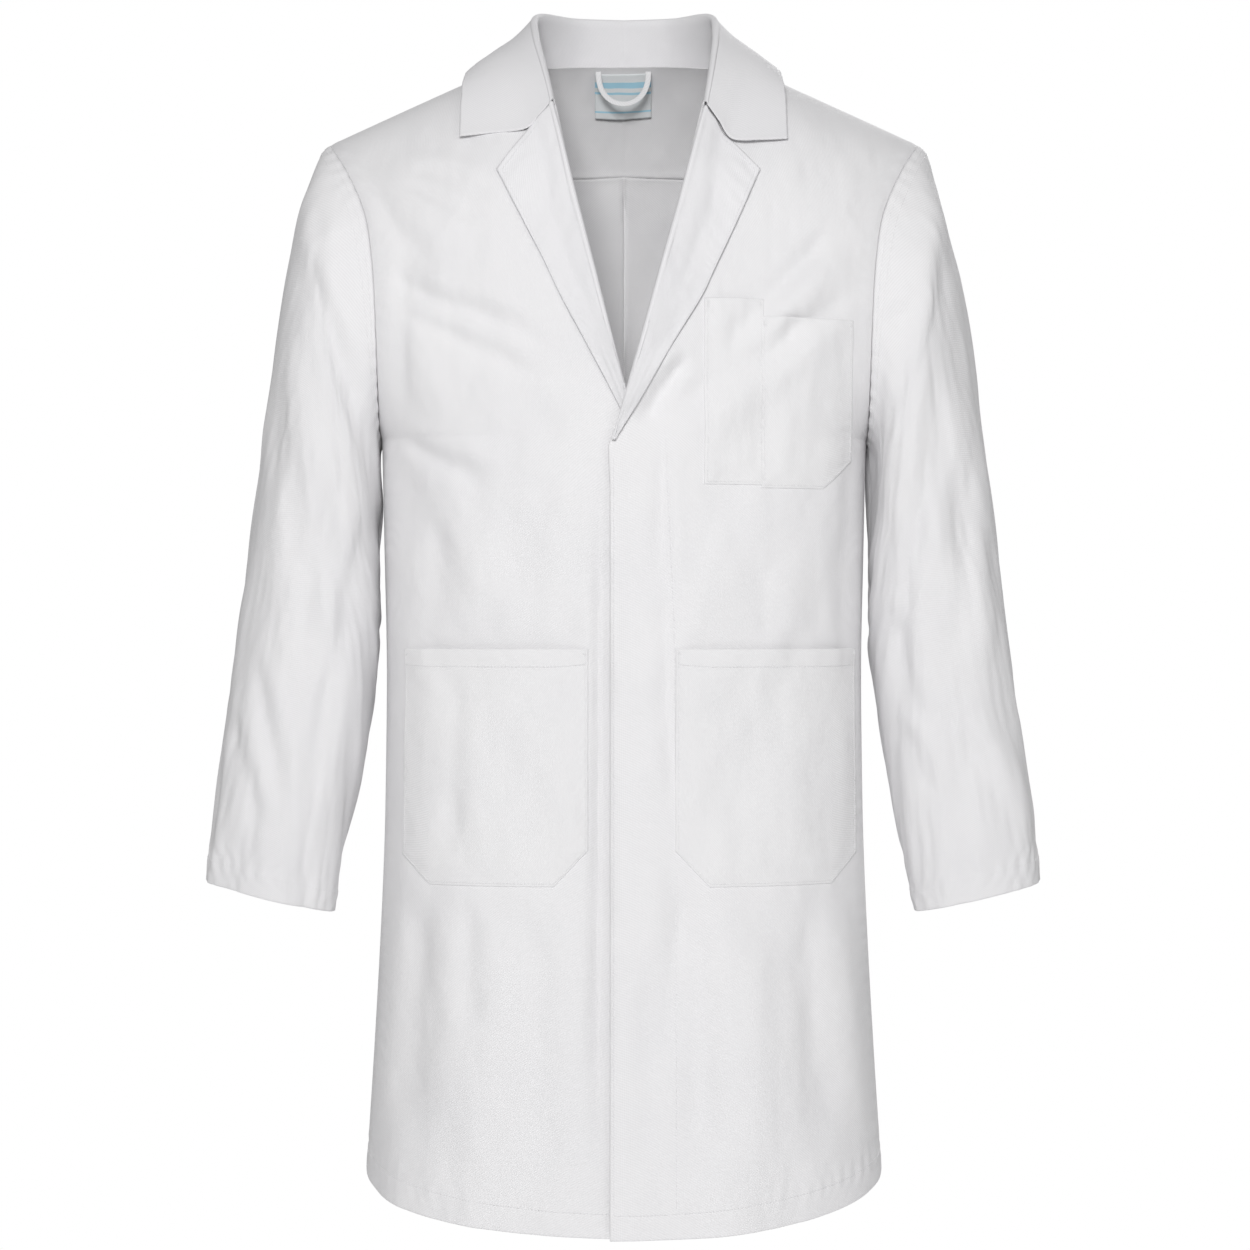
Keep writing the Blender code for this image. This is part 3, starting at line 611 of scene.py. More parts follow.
def label_cloth(name):
    """A plain woven label: pale satin with thin blue bands and no lettering."""
    m = woven(name, (0.84, 0.87, 0.88), (0.80, 0.84, 0.86), 0.00035, 0.55, 0.5, 0.0, 0.05)
    t = m.node_tree
    bsdf = next(n for n in t.nodes if n.type == "BSDF_PRINCIPLED")
    uv = t.nodes.new("ShaderNodeUVMap")
    uv.uv_map = "UVMap"
    sep = t.nodes.new("ShaderNodeSeparateXYZ")
    t.links.new(uv.outputs["UV"], sep.inputs["Vector"])
    total = None
    for middle, half in ((0.0085, 0.0022), (0.0150, 0.0009), (0.0300, 0.0007)):
        c = t.nodes.new("ShaderNodeMath")
        c.operation = "COMPARE"
        t.links.new(sep.outputs["Y"], c.inputs[0])
        c.inputs[1].default_value, c.inputs[2].default_value = middle, half
        if total is None:
            total = c
        else:
            a = t.nodes.new("ShaderNodeMath")
            a.operation = "MAXIMUM"
            t.links.new(total.outputs[0], a.inputs[0])
            t.links.new(c.outputs[0], a.inputs[1])
            total = a
    mix = t.nodes.new("ShaderNodeMix")
    mix.data_type = "RGBA"
    was = bsdf.inputs["Base Color"].links[0].from_socket
    t.links.new(total.outputs[0], mix.inputs["Factor"])
    t.links.new(was, mix.inputs["A"])
    mix.inputs["B"].default_value = (0.42, 0.70, 0.84, 1)
    t.links.new(mix.outputs["Result"], bsdf.inputs["Base Color"])
    return m


COTTON = woven("white_polycotton", (0.845, 0.838, 0.848), (0.800, 0.795, 0.812), 0.00055, 0.82, 0.55, 0.0)
COLLAR = woven("white_polycotton_collar", (0.835, 0.828, 0.842), (0.79, 0.785, 0.805), 0.00055, 0.80, 0.55, 0.35)
POCKET = woven("white_polycotton_pocket", (0.848, 0.842, 0.850), (0.81, 0.805, 0.82), 0.00055, 0.82, 0.55, 0.04)
TAPE = woven("loop_tape", (0.85, 0.85, 0.86), (0.78, 0.78, 0.80), 0.00075, 0.65, 0.8, 0.0)
LABEL = label_cloth("label_weave")
THREAD = threads("white_thread", (0.88, 0.875, 0.885))
METAL = steel("press_stud_metal")


def dress(obj, mat):
    obj.data.materials.clear()
    obj.data.materials.append(mat)
    return obj


# ---------------------------------------------------------------- the fronts
def front_xz(u, w, side):
    """Where a front's grid point lies, x towards its own side. u runs from the front edge to the side seam, w from hem to shoulder."""
    z_out = HEM_SIDE_Z + (SHOULDER_Z - 0.0004 - HEM_SIDE_Z) * w
    top_in = float(shoulder_line(np.float64(0.112)))
    z_in = HEM_FRONT_Z + (top_in - HEM_FRONT_Z) * w
    f = (z_in - ROLL_TOP[1]) / (top_in - ROLL_TOP[1])
    x_in = np.where(z_in < ROLL_TOP[1], edge_x(z_in, side), ROLL[side][1] + 0.003 + (0.109 - ROLL[side][1]) * f)
    z = z_in + (z_out - z_in) * u ** (1.7 - 0.7 * smooth((w - 0.25) / 0.5))
    a_in = np.sign(x_in) * angle_of(x_in, z)
    a_out = np.arcsin(np.minimum((outline_x(z) / half_width(z)) ** (ROUND / 2), 1.0))
    a = a_in + (a_out - a_in) * u
    x = half_width(z) * np.sign(a) * np.abs(np.sin(a)) ** (2 / ROUND)
    near = smooth((w - 0.86) / 0.14)
    for _ in range(6):          # the top row lies along the shoulder line
        goal = z_in + (shoulder_line(x) - top_in) + (shoulder_line(np.full_like(x, 0.112)) - top_in)
        z2 = z + (goal - (z_in + (z_out - z_in) * u)) * near
        a_in = np.sign(x_in) * angle_of(x_in, z2)
        a_out = np.arcsin(np.minimum((outline_x(z2) / half_width(z2)) ** (ROUND / 2), 1.0))
        a = a_in + (a_out - a_in) * u
        x = half_width(z2) * np.sign(a) * np.abs(np.sin(a)) ** (2 / ROUND)
    return x, z2


def rows_with(edge, radius, tuck, count):
    """Rows for a sheet with a turned hem at its start: each is (w shift in metres, offset, curl)."""
    back = [(tuck * (1 - k / 6), -2 * radius, 0.0) for k in range(6)]
    curl = [(0.0, -radius - radius * math.cos(math.pi * k / 6), radius * math.sin(math.pi * k / 6)) for k in range(6)]
    return back + curl


def front_sheet(side, word):
    nu, nv = 104, 380
    height = 0.94
    u = np.linspace(0, 1, nu) ** 1.0
    w = np.linspace(0, 1, nv)
    w = 1 - (1 - w) ** 1.12
    r = 0.0009
    cu = rows_with(None, r, 0.030, nu)          # turned in at the front edge
    cw = rows_with(None, r, 0.020, nv)          # turned up at the hem
    width = 0.235
    U = np.concatenate([[c[0] / width for c in cu], u])
    OU = np.concatenate([[c[1] for c in cu], np.zeros(nu)])
    XU = np.concatenate([[-c[2] for c in cu], np.zeros(nu)])
    W = np.concatenate([[c[0] / height for c in cw], w])
    OW = np.concatenate([[c[1] for c in cw], np.zeros(nv)])
    ZW = np.concatenate([[-c[2] for c in cw], np.zeros(nv)])
    uu, ww = np.meshgrid(U, W)
    x, z = front_xz(uu, ww, side)
    # the turned-in front edge and the turned-up hem curl round past the sheet's own edges
    x = x + XU[None, :]
    z = z + ZW[:, None]
    p = body_cloth(side * x, z, True, side, OU[None, :] + OW[:, None])
    du = np.concatenate([np.linspace(-0.035, -0.0002, len(cu)), np.linspace(0, width, nu)])
    dw = np.concatenate([np.linspace(-0.024, -0.0002, len(cw)), w * height])
    uv = np.stack(np.broadcast_arrays(du[None, :], dw[:, None]), -1)
    obj = grid(f"front_{word}", p, uv, flip=side > 0)
    dress(obj, COTTON)
    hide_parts(f"front_panel_{word}", f"front_shoulder_{word}")
    return obj


def front_surface(side, off=CLOTH / 2):
    """The outer face of a front, in picture x and z."""
    return lambda x, z: body_cloth(x, z, True, side, off)


fronts, sewn = {}, {1: [], -1: []}
for side, word in ((1, "left"), (-1, "right")):
    fronts[side] = front_sheet(side, word)
    face = front_surface(side)
    # hem stitching, 20 mm up
    xs = side * np.linspace(edge_x(np.array([-0.98]), side)[0] + 0.002, 0.224, 60)
    t = np.clip(np.abs(xs) / 0.227, 0, 1)
    hem = HEM_FRONT_Z + (HEM_SIDE_Z - HEM_FRONT_Z) * (1 - np.sqrt(1 - t**2)) ** 0.9
    sewn[side].append(facing(along(face, np.stack([xs, hem + 0.0195], -1)), (0, -1, 0)))
# the placket's stitch line, down the wearer's left front
sewn[1].append(facing(along(front_surface(1), [(view_point(665, 430)[0], -0.318), (view_point(668, 500)[0], -0.374), (view_point(674, 606)[0], -0.48),
                                                (view_point(675, 700)[0], -0.56), (0.0445, -0.75), (0.0440, -0.975)]), (0, -1, 0)))
# the front edges' own stitching
sewn[1].append(facing(along(front_surface(1), [(EDGE_LEFT + 0.0018, -0.345), (EDGE_LEFT + 0.0018, -0.995)]), (0, -1, 0)))


# ---------------------------------------------------------------- the back and yoke
def back_xz(u, w):
    z_in = HEM_FRONT_Z + (YOKE_Z - 0.0002 - HEM_FRONT_Z) * w
    z_out = HEM_SIDE_Z + (YOKE_Z - 0.0102 - HEM_SIDE_Z) * w
    z = z_in + (z_out - z_in) * u
    for _ in range(3):
        reach = np.arcsin(np.minimum((outline_x(z) / half_width(z)) ** (ROUND / 2), 1.0)) * u
        part = half_width(z) * np.sin(reach) ** (2 / ROUND) / outline_x(z)
        z = z_in + (z_out - z_in) * (u**1.7 * (1 - w) + part * w)
    a_out = np.arcsin(np.minimum((outline_x(z) / half_width(z)) ** (ROUND / 2), 1.0))
    a = a_out * u
    return half_width(z) * np.sin(a) ** (2 / ROUND), z


def back_extra(x, z):
    """The centre seam and the yoke seam draw the cloth in."""
    return -0.0011 * np.exp(-((x / 0.0022) ** 2)) - 0.0008 * np.exp(-(((z - YOKE_Z) / 0.003) ** 2))


def back_sheet(side, word):
    nu, nv, r = 100, 380, 0.0009
    u, w = np.linspace(0, 1, nu), np.linspace(0, 1, nv)
    cw = rows_with(None, r, 0.020, nv)
    W = np.concatenate([[c[0] / 0.9 for c in cw], w])
    OW = np.concatenate([[c[1] for c in cw], np.zeros(nv)])
    ZW = np.concatenate([[-c[2] for c in cw], np.zeros(nv)])
    uu, ww = np.meshgrid(u, W)
    x, z = back_xz(uu, ww)
    x = np.maximum(x, 0.00015)
    z = z + ZW[:, None]
    p = body_cloth(side * x, z, False, 0, OW[:, None] + back_extra(x, z))
    dw = np.concatenate([np.linspace(-0.024, -0.0002, len(cw)), w * 0.91])
    uv = np.stack(np.broadcast_arrays(u[None, :] * 0.25, dw[:, None]), -1)
    obj = grid(f"back_{word}", p, uv, flip=side < 0)
    dress(obj, COTTON)
    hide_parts(f"back_panel_{word}")
    return obj


def yoke_point(u, v, off=0.0):
    edge = float(lookup(HOLE_X, YOKE_Z - 0.010)) - 0.0002
    x_low = (2 * u - 1) * edge
    z_low = YOKE_Z - 0.010 * np.abs(2 * u - 1)
    k = np.minimum(u, 1 - u)
    f = np.clip(k / 0.27, 0, 1)
    x_side = -(SHOULDER_X - 0.0005) + (SHOULDER_X - 0.0005 - 0.108) * f
    z_side = shoulder_line(x_side)
    g = np.clip((k - 0.27) / 0.46, 0, 1)
    z0 = float(shoulder_line(np.float64(0.108)))
    x_mid = -0.108 + 0.216 * g
    z_mid = z0 + (0.0180 - z0) * np.sin(math.pi * g) ** 0.8
    x_top = np.where(k < 0.27, x_side, x_mid) * np.where(u > 0.5, -1, 1)
    z_top = np.where(k < 0.27, z_side, z_mid)
    w = 1 - (1 - v) ** 1.7
    x = x_low + (x_top - x_low) * w
    z = z_low + (z_top - z_low) * w
    return body_cloth(x, z, False, 0, off + back_extra(np.full_like(x, 1.0), z), hem=False)


def yoke_sheet():
    nu, nv = 300, 60
    uu, vv = np.meshgrid(np.linspace(0, 1, nu), np.linspace(0, 1, nv))
    p = yoke_point(uu, vv)
    uv = np.stack([uu * 0.52, vv * 0.13], -1)
    obj = grid("yoke", p, uv, flip=True)
    dress(obj, COTTON)
    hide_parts("back_yoke")
    return obj


backs = {side: back_sheet(side, word) for side, word in ((1, "left"), (-1, "right"))}
yoke = yoke_sheet()
back_face = lambda x, z: body_cloth(x, z, False, 0, CLOTH / 2)
back_inside = lambda x, z: body_cloth(x, z, False, 0, -CLOTH / 2)
back_lines = []
xs = np.linspace(-0.224, 0.224, 110)
t = np.abs(xs) / 0.227
hem = HEM_FRONT_Z + (HEM_SIDE_Z - HEM_FRONT_Z) * (1 - np.sqrt(1 - t**2)) ** 0.9
back_lines.append(facing(along(back_face, np.stack([xs, hem + 0.0195], -1)), (0, 1, 0)))
zs = np.linspace(-0.99, YOKE_Z - 0.004, 80)
back_lines.append(facing(along(back_face, np.stack([np.full(80, 0.0035), zs], -1)), (0, 1, 0)))
xs = np.linspace(-0.225, 0.225, 90)
for up in (0.0016, 0.0066):
    back_lines.append(facing(along(lambda a, b: yoke_point(a, b, CLOTH / 2), np.stack([np.linspace(0.01, 0.99, 80), np.full(80, up / 0.16)], -1), 0.004), (0, 1, 0)))


# ---------------------------------------------------------------- the sleeves
RINGS = [((0.2760, -0.0980), (0.2160, -0.3520), 0.0960), ((0.2905, -0.1600), (0.2160, -0.3830), 0.0970),
         ((0.3020, -0.2250), (0.2160, -0.4130), 0.0930), ((0.3130, -0.2950), (0.2158, -0.4430), 0.0870),
         ((0.3230, -0.3650), (0.2155, -0.4750), 0.0820), ((0.3320, -0.4300), (0.2165, -0.5100), 0.0770),
         ((0.3415, -0.5000), (0.2225, -0.5600), 0.0710), ((0.3510, -0.5700), (0.2325, -0.6150), 0.0640),
         ((0.3590, -0.6350), (0.2440, -0.6700), 0.0560), ((0.3655, -0.6900), (0.2545, -0.7200), 0.0490),
         ((0.3675, -0.7100), (0.2580, -0.7365), 0.0470)]

SLEEVE_FOLDS = {
    -1: [([(303, 240), (343, 360), (375, 446)], -0.0034, 0.010, 0.6), ([(255, 640), (279, 797), (283, 845)], -0.0026, 0.009, 0.6),
         ([(227, 702), (263, 845)], -0.0024, 0.009, 0.6), ([(331, 446), (333, 606)], -0.0020, 0.010, 0.5),
         ([(290, 300), (296, 420), (285, 560)], 0.0022, 0.014, 0.0), ([(345, 470), (318, 560), (300, 660)], -0.0028, 0.010, 0.6),
         ([(372, 500), (350, 590), (338, 680)], -0.0024, 0.009, 0.5), ([(262, 420), (250, 540), (243, 640)], -0.0018, 0.010, -0.5),
         ([(340, 640), (318, 740), (310, 830)], -0.0022, 0.008, 0.5), ([(322, 190), (318, 260), (306, 330)], -0.0018, 0.010, 0.5)],
    1: [([(878, 330), (874, 450), (878, 560)], -0.0034, 0.010, -0.6), ([(917, 335), (913, 440), (909, 558)], 0.0024, 0.011, 0.0),
        ([(953, 446), (958, 560), (957, 670)], -0.0028, 0.011, 0.6), ([(901, 718), (920, 770), (925, 800)], -0.0024, 0.009, 0.6),
        ([(957, 718), (1000, 800), (1028, 860)], -0.0026, 0.010, 0.6), ([(869, 327), (893, 318), (917, 311)], -0.0024, 0.006, 0.6),
        ([(935, 230), (948, 330), (962, 430)], -0.0020, 0.011, 0.5), ([(890, 600), (905, 680), (930, 740)], -0.0026, 0.009, 0.5),
        ([(985, 520), (998, 640), (1010, 760)], -0.0018, 0.010, -0.5), ([(900, 470), (925, 560), (935, 640)], -0.0022, 0.009, 0.5)]}


def armhole_seam(a, side):
    """The seam round the armhole, a = 0 at the shoulder point, to the front first, along the body panels' own edges."""
    zc, hz = (SHOULDER_Z + ARMPIT_Z) / 2, (SHOULDER_Z - ARMPIT_Z) / 2
    z = zc + hz * 0.9985 * np.cos(a)
    x = outline_x(z)
    y = np.where(np.sin(a) >= 0, -depth(x, z, True), depth(x, z, False))
    return np.stack([side * x, y, z], -1)


def sleeve_rings(a, side):
    out = [armhole_seam(a, side)]
    for (xo, zo), (xi, zi), d in RINGS:
        c, s = np.cos(a), np.sin(a)
        cc, ss = np.sign(c) * np.abs(c) ** 0.92, np.sign(s) * np.abs(s) ** 0.92
        out.append(np.stack([side * ((xo + xi) / 2 + (xo - xi) / 2 * cc), -d * ss - 0.004, (zo + zi) / 2 + (zo - zi) / 2 * cc], -1))
    return np.stack(out, 0)


RING_AT = np.array([0.0, 0.045, 0.105, 0.168, 0.235, 0.305, 0.368, 0.440, 0.512, 0.580, 0.636, 0.655])


def sleeve_plain(a, s, side):
    """The sleeve without folds. a runs round it, s down it in metres."""
    rings = sleeve_rings(a, side)                     # (12, na, 3)
    m = np.empty_like(rings)
    d = np.diff(RING_AT)[:, None, None]
    sl = np.diff(rings, axis=0) / d
    m[1:-1] = (sl[:-1] * d[1:] + sl[1:] * d[:-1]) / (d[:-1] + d[1:])
    m[0], m[-1] = sl[0], sl[-1]
    # the cloth leaves the seam outwards, and then falls: the fullness of the sleeve's head
    head = np.zeros_like(m[0])
    head[:, 0] = side * 0.55
    m[0] = m[0] * 0.55 + head * (0.35 + 0.65 * np.maximum(np.cos(a), 0))[:, None]
    s = np.clip(s, 0, RING_AT[-1])
    k = np.clip(np.searchsorted(RING_AT, s, side="right") - 1, 0, len(RING_AT) - 2)
    h = (RING_AT[k + 1] - RING_AT[k])[:, None, None]
    t = ((s - RING_AT[k]) / (RING_AT[k + 1] - RING_AT[k]))[:, None, None]
    return ((2 * t**3 - 3 * t**2 + 1) * rings[k] + (t**3 - 2 * t**2 + t) * h * m[k]
            + (-2 * t**3 + 3 * t**2) * rings[k + 1] + (t**3 - t**2) * h * m[k + 1])


def grid_normals(p, ring=True):
    du = np.roll(p, -1, axis=1) - np.roll(p, 1, axis=1) if ring else np.gradient(p, axis=1)
    dv = np.gradient(p, axis=0)
    n = np.cross(du, dv)
    return n / np.maximum(np.linalg.norm(n, axis=-1, keepdims=True), 1e-12)


def sleeve_sheet(side, word):
    na, ns, r = 190, 210, 0.0009
    a = np.arange(na) * 2 * math.pi / na
    s = np.linspace(0, RING_AT[-1], ns)
    plain = sleeve_plain(a, s, side)
    n = grid_normals(plain)
    centre = plain.mean(axis=1, keepdims=True)
    if ((n * (plain - centre)).sum(-1)).mean() < 0:
        n = -n
    x, z = plain[..., 0], plain[..., 2]
    ss = np.broadcast_to(s[:, None], x.shape)
    aa = np.broadcast_to(a[None, :], x.shape)
    front = smooth(np.sin(aa) * 2.0 + 0.5)
    round_x, round_y = np.cos(aa), np.sin(aa)
    h = 0.0028 * noise(round_x * 1.7 + 9, ss / 0.085 + round_y * 1.5, 71 + side) + 0.0017 * noise(round_x * 3.4 + ss * 8, ss / 0.150 + round_y * 3.1, 75 + side)
    h += 0.0006 * noise(round_x * 11, ss / 0.030 + round_y * 7, 77 + side)
    # crossing drag folds at the elbow and above the cuff, all round
    for at, tall, wide, lean, turn in ((0.30, -0.0022, 0.012, 0.050, 0.6), (0.36, -0.0026, 0.013, -0.045, 2.2), (0.42, -0.0022, 0.012, 0.040, 4.1),
                                       (0.50, -0.0018, 0.010, -0.035, 5.3), (0.57, -0.0018, 0.009, 0.030, 3.2)):
        line = ss - at - lean * np.cos(aa - turn)
        h += tall * np.exp(-((line / wide) ** 2)) * smooth(np.cos(aa - turn - 1.2) * 1.2 + 0.2) * (1 - 0.8 * front)
    for points, height, width, twin in SLEEVE_FOLDS[side]:
        h += 1.25 * crease(x, z, points, height, width, twin, -0.06) * front
    h = h * smooth(ss / 0.035)
    # the seams' crimps, the cuff's turned hem and its crimps
    round_m = aa * 0.075
    h += pucker(round_m * 1.0, ss - 0.004, 0.012, 0.0006, 0.014, 81)
    h -= 0.0005 * np.exp(-((ss / 0.004) ** 2))
    up = RING_AT[-1] - ss
    h += pucker(aa * 0.041, up - 0.020, 0.0105, 0.0009, 0.014, 83) + 0.0006 * smooth((0.020 - up) / 0.002)
    h -= 0.0010 * np.exp(-(((aa - math.pi) / 0.03) ** 2)) * smooth(ss / 0.02)       # the underarm seam
    outer = plain + n * h[..., None]
    # the cuff is turned in
    inward = -n[-1]
    down = outer[-1] - outer[-3]
    down /= np.linalg.norm(down, axis=-1, keepdims=True)
    more = []
    for k in range(1, 7):
        q = math.pi * k / 6
        more.append(outer[-1] + inward * (r - r * math.cos(q)) + down * r * math.sin(q))
    for k in range(1, 7):
        more.append(outer[-1 - 1 * k] * 1.0 + inward * 2 * r)
    p = np.concatenate([outer, np.stack(more)])
    sv = np.concatenate([s, RING_AT[-1] + np.linspace(0.0003, 0.0245, 12)])
    uv = np.stack(np.broadcast_arrays(a[None, :] * 0.066, sv[:, None]), -1)
    obj = grid(f"sleeve_cloth_{word}", p, uv, ring=True, flip=side < 0)
    dress(obj, COTTON)
    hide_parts(f"sleeve_{word}", f"cuff_hem_{word}")
    n2 = grid_normals(outer)
    if ((n2 * (outer - outer.mean(axis=1, keepdims=True))).sum(-1)).mean() < 0:
        n2 = -n2
    lines = []
    for at in (ns - 1 - round(0.0195 / (RING_AT[-1] / (ns - 1))), 2, 4):
        ring = np.concatenate([outer[at], outer[at][:1]])
        nn = np.concatenate([n2[at], n2[at][:1]])
        lines.append((ring + nn * CLOTH / 2, nn))
    return obj, lines


sleeves, sleeve_lines = {}, {}
for side, word in ((1, "left"), (-1, "right")):
    sleeves[side], sleeve_lines[side] = sleeve_sheet(side, word)


# ---------------------------------------------------------------- the collar
FOLD = [(0, 0.0740, 0.0600), (0.045, 0.0620, 0.0595), (0.0775, 0.0220, 0.0560), (0.0815, -0.0220, 0.0330),
        (0.0775, -0.0600, 0.0000), (0.0700, -0.0900, -0.0380)]
EDGE = [(0, 0.1110, -0.0060), (0.062, 0.1020, -0.0050), (0.108, 0.0640, -0.0080), (0.1300, 0.0080, 0.0050),
        (0.1365, -0.0470, -0.0120), (0.1370, -0.0860, -0.0640)]
SEAM = [(0, 0.0800, 0.0190), (0.050, 0.0730, 0.0180), (0.0880, 0.0370, 0.0110), (0.0990, -0.0150, 0.0040),
        (0.0880, -0.0560, -0.0110), (0.0735, -0.0860, -0.0410)]
GORGE = {1: [(0.0675, -0.0440), (0.0775, -0.0580), (0.0890, -0.0735), (0.1130, -0.0735), (0.1365, -0.0715)],
         -1: [(0.0590, -0.0420), (0.0690, -0.0535), (0.0810, -0.0645), (0.1100, -0.0670), (0.1375, -0.0690)]}


def mirrored(points, t):
    p = spline(points, np.abs(t))
    if points is not EDGE:          # the two ends of the neck line lie unevenly, as worn
        p[..., 0] -= np.where(t < 0, 0.0100, 0.0022) * smooth((np.abs(t) - 0.35) / 0.62)
    p[..., 0] *= np.where(t < 0, -1, 1)
    return p


def front_lift(x, z, side, off):
    """A point on a front's plain surface, stood off, from x towards its own side."""
    p, n = body_base(side * x, z, True)
    p = p + n * off
    p[..., 1] -= overlap_off(side * x, side)
    return p


def collar_outer(t, w, sub=0.0):
    """The collar's fall: t from -1 to 1 round the neck, w from 0 at the fold to 1 at the edge."""
    top, low = mirrored(FOLD, t), mirrored(EDGE, t)
    out = low - top
    out[..., 2] = 0
    out /= np.maximum(np.linalg.norm(out, axis=-1, keepdims=True), 1e-9)
    at = np.abs(t)[..., None]
    wv = w[..., None]
    mid = (top + low) / 2 + out * (0.0105 * (1 - at**4)) + np.array([0, 0, 0.009])
    p = top * (1 - wv) ** 2 + mid * (2 * wv * (1 - wv)) + low * wv**2
    # the front end follows the gorge, then the collar's own lower edge, just over the lapel and front
    side = np.where(t < 0, -1.0, 1.0)
    end = np.where((t < 0)[..., None], spline(GORGE[-1], np.clip(w, 0, 1)), spline(GORGE[1], np.clip(w, 0, 1)))
    laid, n = body_base(side * end[..., 0], end[..., 1], True)
    laid = laid + n * (0.0036 + 0.0030 * smooth(1 - w / 0.75))[..., None]
    laid[..., 1] -= overlap_off(0.09, 1) * side
    flat_end = mirrored(FOLD, np.sign(t) + 0.0) * (1 - wv) ** 2
    top1, low1 = mirrored(FOLD, np.sign(t + 1e-9)), mirrored(EDGE, np.sign(t + 1e-9))
    out1 = low1 - top1
    out1[..., 2] = 0
    out1 /= np.maximum(np.linalg.norm(out1, axis=-1, keepdims=True), 1e-9)
    mid1 = (top1 + low1) / 2 + np.array([0, 0, 0.009])
    was = top1 * (1 - wv) ** 2 + mid1 * (2 * wv * (1 - wv)) + low1 * wv**2
    p = p + (laid - was) * smooth((np.abs(t) - 0.70) / 0.30)[..., None]
    # small soft waves
    h = 0.0011 * noise(t * 6.0, w * 1.6, 91) + 0.0004 * noise(t * 22, w * 4, 92)
    h = h * smooth(w / 0.2) * smooth((1.04 - np.abs(t)) / 0.2) + pucker(t * 0.30, (1 - w) * 0.075 - 0.006, 0.012, 0.0003, 0.008, 93)
    return p + out * (0.0026 + h + sub)[..., None]


def collar_sheet():
    nt, t = 330, np.linspace(-1, 1, 330)
    ws, wc, wf = 22, 9, 60
    rows, v = [], []
    top, low = mirrored(FOLD, t * 0.995), mirrored(SEAM, t)
    low[:, 2] -= 0.0065 * smooth((0.62 - np.abs(t)) / 0.2)          # its turning, down behind the yoke's
    inner = -top.copy()
    inner[:, 2] = 0
    inner /= np.linalg.norm(inner, axis=1, keepdims=True)
    first = collar_outer(t, np.full(nt, 0.0))
    second = collar_outer(t, np.full(nt, 0.03))
    stand_top = first + inner * 0.0052
    for k in range(ws):
        f = k / ws
        wave = 0.0006 * noise(t * 9, np.full(nt, f * 2), 95) * math.sin(math.pi * f)
        rows.append(low + (stand_top - np.array([0, 0, 0.0015]) - low) * f + inner * (0.0012 * math.sin(math.pi * f) + wave)[:, None])
        v.append(f * 0.044)
    for k in range(wc):
        q = math.pi * (k + 0.5) / wc
        mid = (first + stand_top) / 2
        half = (first - stand_top) / 2
        rows.append(mid - half * math.cos(q) + np.array([0, 0, 1.0]) * 0.0026 * math.sin(q))
        v.append(0.044 + 0.008 * (k + 0.5) / wc)
    for k in range(wf):
        w = k / (wf - 1)
        rows.append(collar_outer(t, np.full(nt, w)))
        v.append(0.052 + 0.078 * w)
    p = np.stack(rows)
    uv = np.stack(np.broadcast_arrays((t * 0.27)[None, :], np.array(v)[:, None]), -1)
    obj = grid("collar", p, uv, thick=0.0014, flip=False)
    dress(obj, COLLAR)
    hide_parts("collar_fall", "collar_stand")
    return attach(obj, "torso")


collar = collar_sheet()
collar_lines = []
tt = np.linspace(-0.985, 0.985, 260)
c_out = lambda a, b: collar_outer(a, b, 0.0008)
for w in (0.93,):
    line = along(c_out, np.stack([tt, np.full(260, w)], -1), 0.004)
    n = line[1]
    n = np.where(((n * (line[0] - np.array([0, 0.0, -0.02]))).sum(-1) < 0)[:, None], -n, n)
    collar_lines.append((line[0], n))
for s in (1, -1):
    line = along(c_out, np.stack([np.full(40, s * 0.968), np.linspace(0.36, 0.93, 40)], -1), 0.004)
    collar_lines.append(facing(line, (0, -1, 0)))


# ---------------------------------------------------------------- the lapels
LAPEL = {1: [(-0.0075, -0.3300), (0.0140, -0.2955), (0.0416, -0.2480), (0.0655, -0.2090), (0.0765, -0.1855), (0.0974, -0.1407), (0.1156, -0.0995)],
         -1: [(-0.0100, -0.3300), (0.0080, -0.2930), (0.0340, -0.2440), (0.0535, -0.2077), (0.0680, -0.1770), (0.0830, -0.1480), (0.1079, -0.0998)]}
LAPEL_TOP = {1: [(0.0672, -0.0440), (0.0780, -0.0540), (0.0890, -0.0702), (0.1156, -0.0988)],
             -1: [(0.0586, -0.0430), (0.0690, -0.0522), (0.0810, -0.0648), (0.1079, -0.0995)]}


def lapel_xz(u, v, side):
    """Where the lapel lies, x towards its own side: v up the roll line, u from the roll to the outer edge."""
    z_roll = BREAK_Z + 0.005 + (ROLL_TOP[1] - 0.002 - BREAK_Z - 0.005) * v
    t = (z_roll - BREAK_Z) / (ROLL_TOP[1] - BREAK_Z)
    x_roll = roll_x(z_roll, side)
    tip = spline(LAPEL[side], v)
    x = x_roll + (np.maximum(tip[..., 0], x_roll + 0.002) - x_roll) * u
    z = z_roll + (tip[..., 1] - z_roll) * u
    top = spline(LAPEL_TOP[side], u)
    x1 = ROLL[side][1] + (LAPEL[side][-1][0] - ROLL[side][1]) * u
    z1 = ROLL_TOP[1] - 0.002 + (LAPEL[side][-1][1] - ROLL_TOP[1] + 0.002) * u
    k = smooth((v - 0.72) / 0.28)
    return x + (top[..., 0] - x1) * k, z + (top[..., 1] - z1) * k


def lapel_radius(v):
    return 0.0016 + 0.0026 * smooth(v / 0.35) * (1 - 0.35 * smooth((v - 0.7) / 0.3))


